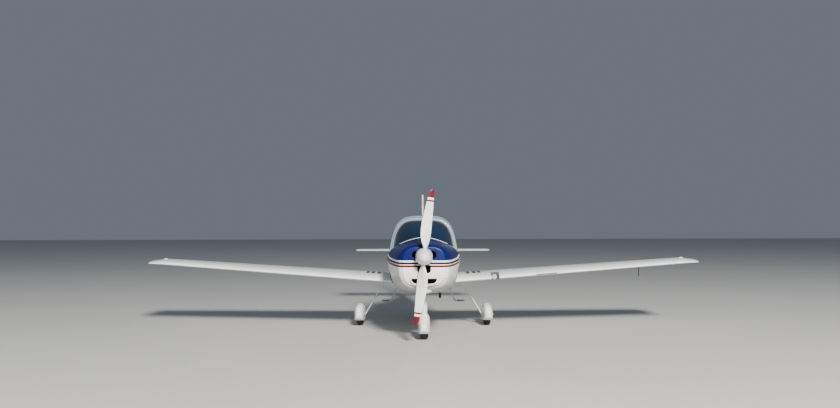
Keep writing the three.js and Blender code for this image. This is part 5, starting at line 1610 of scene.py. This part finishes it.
def make_steps():
    """A bent tube below the body with a foot bar, one each side."""
    start, corner, end = [Vector((x, at(station), z))
                          for x, station, z in (STEP_START, STEP_CORNER, STEP_END)]
    down, across = (corner - start).normalized(), (end - corner).normalized()
    path = [start + (corner - start) * t for t in (0.0, 0.25, 0.5, 0.75)]
    before, after = corner - down * STEP_BEND, corner + across * STEP_BEND
    path += [(1 - t) ** 2 * before + 2 * t * (1 - t) * corner + t * t * after
             for t in (i / 8 for i in range(9))]
    path += [corner + (end - corner) * t for t in (0.4, 0.7, 0.97)] + [end]
    step = tube("entry_step_port_tube", path, [STEP_RADIUS] * (len(path) - 1) + [STEP_RADIUS - 0.002], None,
                24)
    cut(step, body_loft(steps(2.9, 3.9, 0.07), SEAT_GAP))
    keep_largest(step)
    dress(step, 0, MAT["step"])
    sleeve = tube("entry_step_port_grip", [corner + (end - corner) * t for t in (0.22, 0.24, 0.90, 0.92)],
                  [0.0128, 0.0136, 0.0136, 0.0128], MAT["step_grip"], 32)
    for obj in (step, sleeve):
        for (side, _), part in zip(SIDES, (obj, mirrored(obj))):
            piece(part, "airframe", "step_paint", *([f"entry_step_{side}"] if obj is step else []))


# Cabin

# Columns: x, z and radius of each round instrument
INSTRUMENTS = [
    (0.105, 1.155, 0.040), (0.200, 1.155, 0.040), (0.295, 1.150, 0.040), (0.105, 1.062, 0.040),
    (0.200, 1.062, 0.040), (0.295, 1.060, 0.040), (-0.230, 1.150, 0.029), (-0.300, 1.150, 0.029),
    (-0.230, 1.080, 0.029), (-0.300, 1.080, 0.029),
]
# Columns: share of the radius, distance
BEZEL = [(0.84, 0.0), (1.0, 0.0), (1.0, 0.0035), (0.94, 0.0055), (0.86, 0.0045), (0.84, 0.0018), (0.84, 0.0)]
KNOB = [(0, 0.018), (0.006, 0.018), (0.0075, 0.016), (0.008, 0.004), (0.010, 0.0), (0, 0.0)]
KNOB_PLACES = [-0.30, -0.245, -0.19, 0.06, 0.115, 0.17, 0.225]
TRIM_WHEEL = [(0, 0.016), (0.020, 0.016), (0.023, 0.013), (0.023, 0.0), (0, 0.0)]
STICK_X = 0.22
STICK_BOOT = [(0.0, 0.0), (0.029, 0.0), (0.0295, 0.004), (0.0265, 0.010), (0.0275, 0.016), (0.022, 0.022),
              (0.023, 0.028), (0.017, 0.034), (0.0175, 0.040), (0.012, 0.047), (0.0, 0.047)]
STICK_SHAFT = [(1.985, 0.600), (1.990, 0.68), (2.005, 0.80), (2.010, 0.878)]
STICK_GRIP = [(0.0, 0.0), (0.012, 0.0), (0.0165, 0.004), (0.0155, 0.016), (0.0165, 0.030), (0.0150, 0.044),
              (0.0162, 0.058), (0.0148, 0.074), (0.0158, 0.090), (0.0150, 0.104), (0.011, 0.112),
              (0.0, 0.1145)]
STICK_BUTTON = [(0, 0.004), (0.004, 0.0035), (0.005, 0.0), (0, 0.0)]
# Columns: station and height along the seat's moulded shell, its inner and outer x, its run as (y, z)
SEAT_SHELL = [
    (2.100, 0.700, 0.034, 0.385, (1, 0)), (2.120, 0.652, 0.034, 0.385, (1, 0)),
    (2.300, 0.632, 0.034, 0.385, (1, 0)),
    (2.560, 0.622, 0.034, 0.385, (1, 0)), (2.640, 0.668, 0.034, 0.385, (1, 0.3)),
    (2.700, 0.800, 0.034, 0.385, (0.45, 0.9)), (2.800, 1.030, 0.034, 0.348, (0.45, 0.9)),
    (2.875, 1.205, 0.070, 0.300, (0.45, 0.9)), (2.905, 1.290, 0.140, 0.252, (0.45, 0.9)),
]


def cabin_room(name="room"):
    return body_loft(CABIN_INSIDE, -CABIN_WALL - SEAT_GAP, name)


def make_panel():
    across, board_run = (-0.6, 0.6), (PANEL_STATION, PANEL_STATION + 0.022)
    screen = lambda: arch_loft(WINDSHIELD, SHIELD_STATIONS, GLASS + 0.002)
    board = common(cabin_room("instrument_panel_board"), box(across, board_run, (0.935, 1.3)))
    hood = body_loft(steps(1.440, 1.700, 0.02), -0.016)
    visor = copy_of(hood, "visor")
    cut(hood, body_loft(steps(1.430, 1.710, 0.02), -0.024))
    common(hood, screen(), box(across, (1.47, PANEL_STATION + 0.05), (1.1, 1.4)))
    common(visor, screen(), box(across, board_run, (1.1, 1.4)))
    fused(board, hood, visor)
    keep_largest(board)
    painted_piece(board, MAT["dark"], "airframe", "panel_plastic", "instrument_panel", angle=32)


def make_instruments():
    y, facing = at(PANEL_STATION + 0.022), (0, 1, 0)
    bezels, faces, marks = [], [], []
    for x, z, radius in INSTRUMENTS:
        centre = (x, y + 0.0002, z)
        bezels.append(turned("bezel", [(radius * r, d) for r, d in BEZEL], centre, facing, 48,
                             MAT["instrument_ring"]))
        face = [(0, 0.0016), (radius * 0.845, 0.0016), (radius * 0.845, 0.0002), (0, 0.0002)]
        faces.append(turned("face", face, centre, facing, 48, MAT["black"]))
        on = lambda lift, reach, a: (x + radius * reach * math.sin(a), y + lift,
                                     z + radius * reach * math.cos(a))
        for i, a in enumerate(turns(12)):
            ends = on(0.0021, 0.70 if i % 3 else 0.62, a), on(0.0021, 0.78, a)
            marks.append(bar(*ends, 0.0006, 6, MAT["marking"]))
        marks.append(bar(on(0.0026, 0.0, 0.0), on(0.0026, 0.6, x * 23 + z * 17), 0.0011, 8, MAT["marking"],
                         0.0004))
    made = [merged("instrument_bezels", bezels), merged("instrument_faces", faces),
            merged("instrument_marks", marks)]
    front = PANEL_STATION + 0.0223
    for name, depth, z, material, bevel in (("centre_display", 0.0077, (1.055, 1.185), MAT["screen"], 0.004),
                                            ("radio_stack", 0.0087, (0.962, 1.045), MAT["black"], 0.003)):
        made.append(box((-0.155, 0.045), (front, front + depth), z, name, material, bevel))
    ring = MAT["instrument_ring"]
    knobs = [turned("knob", KNOB, (x, y + 0.0003, 0.985), facing, 20, ring) for x in KNOB_PLACES]
    for obj in made + [merged("panel_knobs", knobs)]:
        piece(obj, "airframe", "panel_plastic")


def make_console():
    body = rounded(common(box((-0.06, 0.06), (1.64, 1.96), (0.56, 0.86)), cabin_room()), 0.010)
    plate = rounded(box((-0.05, 0.05), (1.72, 1.80), (0.855, 0.872)), 0.004, 2)
    lever = box((-0.014, 0.014), (1.701, 1.711), (0.855, 0.915), bevel=0.003)
    grip = box((-0.018, 0.018), (1.700, 1.712), (0.905, 0.930), bevel=0.005)
    wheel = turned("trim_wheel", TRIM_WHEEL, (0, at(1.76), 0.871), (0, 0, 1), 32, MAT["instrument_ring"])
    parts = [dress(part, 0, MAT["dark"]) for part in (body, plate, lever)] + [dress(grip, 0, MAT["black"])]
    piece(merged("centre_console_box", parts), "airframe", "panel_plastic", "centre_console")
    piece(wheel, "airframe", "panel_plastic")


def make_sticks():
    x, lean = STICK_X, (0, -0.086, 1)
    boot = turned("boot", STICK_BOOT, (x, at(1.985), 0.5735), (0, 0, 1), 40, MAT["lining"])
    common(boot, cabin_room())
    shaft = tube("shaft", [(x, at(station), z) for station, z in STICK_SHAFT], 0.0105, MAT["steel"], 20)
    grip = turned("grip", STICK_GRIP, (x, at(2.010), 0.870), lean, 32, MAT["dark"])
    button = turned("button", STICK_BUTTON, (x, at(2.0001), 0.983), lean, 16, MAT["red"])
    stick = merged("control_stick_port_grip", [boot, shaft, grip, button])
    for (side, _), obj in zip(SIDES, (stick, mirrored(stick))):
        piece(obj, "airframe", "stick_plastic", f"control_stick_{side}")


def cushion(name, place_at, up, inner, outer, thickness, crown, pinch, sharpness, count=26):
    """A closed padded form along a line, crowned on its upper side and pinched towards its ends."""
    rings = []
    for i in range(21):
        t = i / 20
        thick = mix(*thickness, t)
        size = 1 - pinch * abs(2 * t - 1) ** sharpness
        ring = []
        for a in turns(count):
            c, s = power(math.cos(a), 0.42), math.sin(a)
            lift = thick / 2 * power(s, 0.55) * size
            if s > 0:
                lift += crown * (1 - abs(c)) * size
            x = (inner + outer) / 2 + (outer - inner) / 2 * c * size
            ring.append(Vector((x, 0, 0)) + place_at(t) + up * (thick / 2 + lift))
        rings.append(ring)
    return loft(name, rings)


def swell(obj, cap=0.010, pressure=4.0):
    """Swells a slightly small form with cloth pressure, each point moved no further than the cap."""
    modifier(obj, "REMESH", mode="VOXEL", voxel_size=0.0085)
    applied(obj)
    rest = [v.co.copy() for v in obj.data.vertices]
    cloth = modifier(obj, "CLOTH")
    cloth.settings.use_pressure = True
    cloth.settings.uniform_pressure_force = pressure
    cloth.settings.effector_weights.gravity = 0.0
    cloth.settings.quality = 5
    cloth.collision_settings.use_collision = False
    for frame_number in range(1, 15):
        bpy.context.scene.frame_set(frame_number)
    applied(obj)
    bpy.context.scene.frame_set(1)
    for vert, start in zip(obj.data.vertices, rest):
        moved = vert.co - start
        if moved.length > cap:
            vert.co = start + moved * (cap / moved.length)


def channels(obj, count, along, facing):
    """Sewn channels pressed into a pad's upper side, square to an axis of x, y and z."""
    with edited(obj) as bm:
        bm.normal_update()
        places = [v.co[along] for v in bm.verts]
        low, high = min(places), max(places)
        for v in bm.verts:
            upward = v.normal.dot(facing)
            if upward < 0.25:
                continue
            share = (v.co[along] - low) / (high - low) * count
            near = abs(share - round(share)) / count * (high - low)
            if 0 < round(share) < count:
                v.co -= v.normal * 0.006 * math.exp(-(near / 0.0045) ** 2) * min(1.0, upward * 1.6)


def seat_pads(side):
    """The base, the back and the headrest."""
    up, ahead = Vector((0, 0, 1)), Vector((0, -1, 0))
    lean, front = Vector((0, 0.37, 0.929)).normalized(), Vector((0, -0.929, 0.37)).normalized()
    base_at = lambda t: Vector((0, at(mix(2.115, 2.560, t)), mix(0.725, 0.690, t)))
    back_at = lambda t: Vector((0, at(2.640), 0.780)) + lean * (0.42 * t)
    head_at = lambda t: Vector((0, at(2.812), 1.212)) + lean * (0.115 * t)
    for name, node, place_at, form, sewn in (
        ("base", (f"seat_{side}",), base_at, (up, 0.040, 0.392, (0.085, 0.080), 0.012, 0.30, 6), (6, 1, up)),
        ("back", (), back_at, (front, 0.042, 0.362, (0.062, 0.062), 0.012, 0.26, 6), (7, 2, ahead)),
        ("headrest", (), head_at, (front, 0.118, 0.282, (0.050, 0.050), 0.010, 0.34, 5), (2, 2, ahead)),
    ):
        pad = cushion(f"seat_{name}_pad_{side}", place_at, *form)
        swell(pad)
        modifier(pad, "SUBSURF", levels=1, render_levels=1)
        channels(applied(pad), *sewn)
        yield dress(pad, 0, MAT["fabric"]), node


def seat_shell(side):
    rings = []
    for station, height, near, wide, run in SEAT_SHELL:
        thick = Vector((0, -run[1], run[0])).normalized() * 0.020
        low = [Vector((x, at(station), height)) for x in (near, wide)]
        rings.append(low + [point + thick for point in reversed(low)])
    shell = loft(f"seat_shell_{side}", rings, MAT["dark"])
    return rounded(common(shell, cabin_room()), 0.004, 2)


def ribbon(*path, width=0.042, thickness=0.003):
    """A flat strap along a smooth line of points of (x, station, z), its width across the cabin."""
    knots = [Vector((x, at(station), z)) for x, station, z in path]
    knots = [knots[0], *knots, knots[-1]]
    points = []
    for a, b, c, d in zip(knots, knots[1:], knots[2:], knots[3:]):
        for t in (k / 6 for k in range(6)):
            points.append(0.5 * (2 * b + (c - a) * t + (2 * a - 5 * b + 4 * c - d) * t * t
                                 + (3 * b - a - 3 * c + d) * t ** 3))
    points.append(knots[-1])
    rings = []
    for i, point in enumerate(points):
        run = (points[min(i + 1, len(points) - 1)] - points[max(i - 1, 0)]).normalized()
        side = run.cross(Vector((0, -0.5, 0.85)).normalized()).normalized() * (width / 2)
        out = side.cross(run).normalized() * thickness
        if out.z < 0:
            out = -out
        rings.append([point - side, point + side, point + side + out, point - side + out])
    return loft("strap", rings, MAT["strap"])


def seat_harness(side):
    parts = [ribbon((x * 0.7 + 0.06, 2.842, 1.215), (x, 2.745, 1.150), (x, 2.660, 1.000), (x, 2.600, 0.880),
                    (mix(x, 0.2, 0.4), 2.565, 0.800)) for x in (0.150, 0.250)]
    parts.append(ribbon((0.035, 2.60, 0.800), (0.11, 2.50, 0.800), (0.20, 2.475, 0.803), (0.29, 2.50, 0.800),
                        (0.380, 2.60, 0.800)))
    parts.append(box((0.170, 0.230), (2.448, 2.500), (0.801, 0.817), "buckle", MAT["steel"], 0.005))
    return merged(f"seat_harness_{side}", parts)


def make_seats():
    """A base and a back of padded cushions on a moulded shell, with a headrest."""
    for side, sign in SIDES:
        pads = list(seat_pads(side))
        for obj, node in pads + [(seat_shell(side), ()), (seat_harness(side), ())]:
            if sign < 0:
                flip(obj)
            piece(obj, "airframe", "seat_fabric", *node)


def make_pedals():
    parts = []
    for x in (0.115, 0.255):
        parts.append(bar((x, at(1.262), 0.640), (x, at(1.235), 0.742), 0.007, 12, MAT["steel"]))
        parts.append(box((x - 0.035, x + 0.035), (1.228, 1.240), (0.700, 0.758), "pad", MAT["aluminium"],
                         0.003))
    parts.append(box((0.07, 0.30), (1.252, 1.274), (0.626, 0.645), "base", MAT["steel"], 0.003))
    port = merged("rudder_pedals_port", parts)
    for obj in (port, mirrored(port)):
        piece(obj, "airframe", "gear_steel")


def make_carried_nodes():
    """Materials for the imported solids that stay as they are."""
    for node, material in (("engine", MAT["engine"]), ("nose_leg_mount", MAT["steel"])):
        dress(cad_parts[node], 0, material)


# Floor, light and camera

FLOOR_COLOUR, SKY_COLOUR, SKY_STRENGTH = (0.50, 0.50, 0.49), (0.62, 0.72, 0.86, 1.0), 0.24
# Columns: name, place, size, energy, colour
LIGHTS = (
    ("key", (5.2, -24.8, 13.2), 3.6, 21000.0, (1.0, 0.965, 0.91)),
    ("fill", (-12.0, -9.0, 7.0), 8.0, 160.0, (0.84, 0.91, 1.0)),
)
LIGHT_TARGET = Vector((0, 0, 0.9))
# The photograph's view: a 35 mm lens at eye height, tipped up and rolled a little
CAMERA_PLACE, CAMERA_PITCH, CAMERA_ROLL = (-0.0485, -12.735, 1.41), 91.68, 0.143


def make_stage():
    shade = Shade("studio_floor", rough=0.55)
    shade.put("Base Color", shade.grime(FLOOR_COLOUR, 0.94, 0.35, 14.0))
    corners = [(-60, -40, 0), (60, -40, 0), (60, 90, 0), (-60, 90, 0)]
    mesh_object("studio_floor", corners, [(0, 1, 2, 3)], shade.material)
    world = bpy.data.worlds.new("studio_world")
    bpy.context.scene.world = world
    world.use_nodes = True
    background = world.node_tree.nodes["Background"]
    background.inputs["Color"].default_value = SKY_COLOUR
    background.inputs["Strength"].default_value = SKY_STRENGTH
    for name, place, size, energy, colour in LIGHTS:
        lamp = bpy.data.lights.new(name, "AREA")
        lamp.size, lamp.energy, lamp.color = size, energy, colour
        obj = linked(name, lamp)
        obj.location = place
        obj.rotation_euler = (LIGHT_TARGET - Vector(place)).to_track_quat("-Z", "Y").to_euler()


def make_camera():
    lens = bpy.data.cameras.new("camera")
    lens.lens = 35.0
    lens.sensor_width = 36.0
    lens.clip_end = 400.0
    camera = linked("camera", lens)
    camera.location = CAMERA_PLACE
    camera.rotation_euler = (math.radians(CAMERA_PITCH), math.radians(CAMERA_ROLL), 0.0)
    bpy.context.scene.camera = camera


for make in (
    make_camera, make_materials, make_stage,
    make_fuselage, make_cowls, make_bow, make_windshield, make_canopy, make_tail_cone,
    make_wings, make_wing_details, make_landing_light, make_pitot, make_stabilizer, make_fin,
    make_propeller, make_spinner, make_blister, make_exhaust, make_main_gear, make_nose_gear, make_steps,
    make_panel, make_instruments, make_console, make_sticks, make_seats, make_pedals, make_carried_nodes,
):
    make()
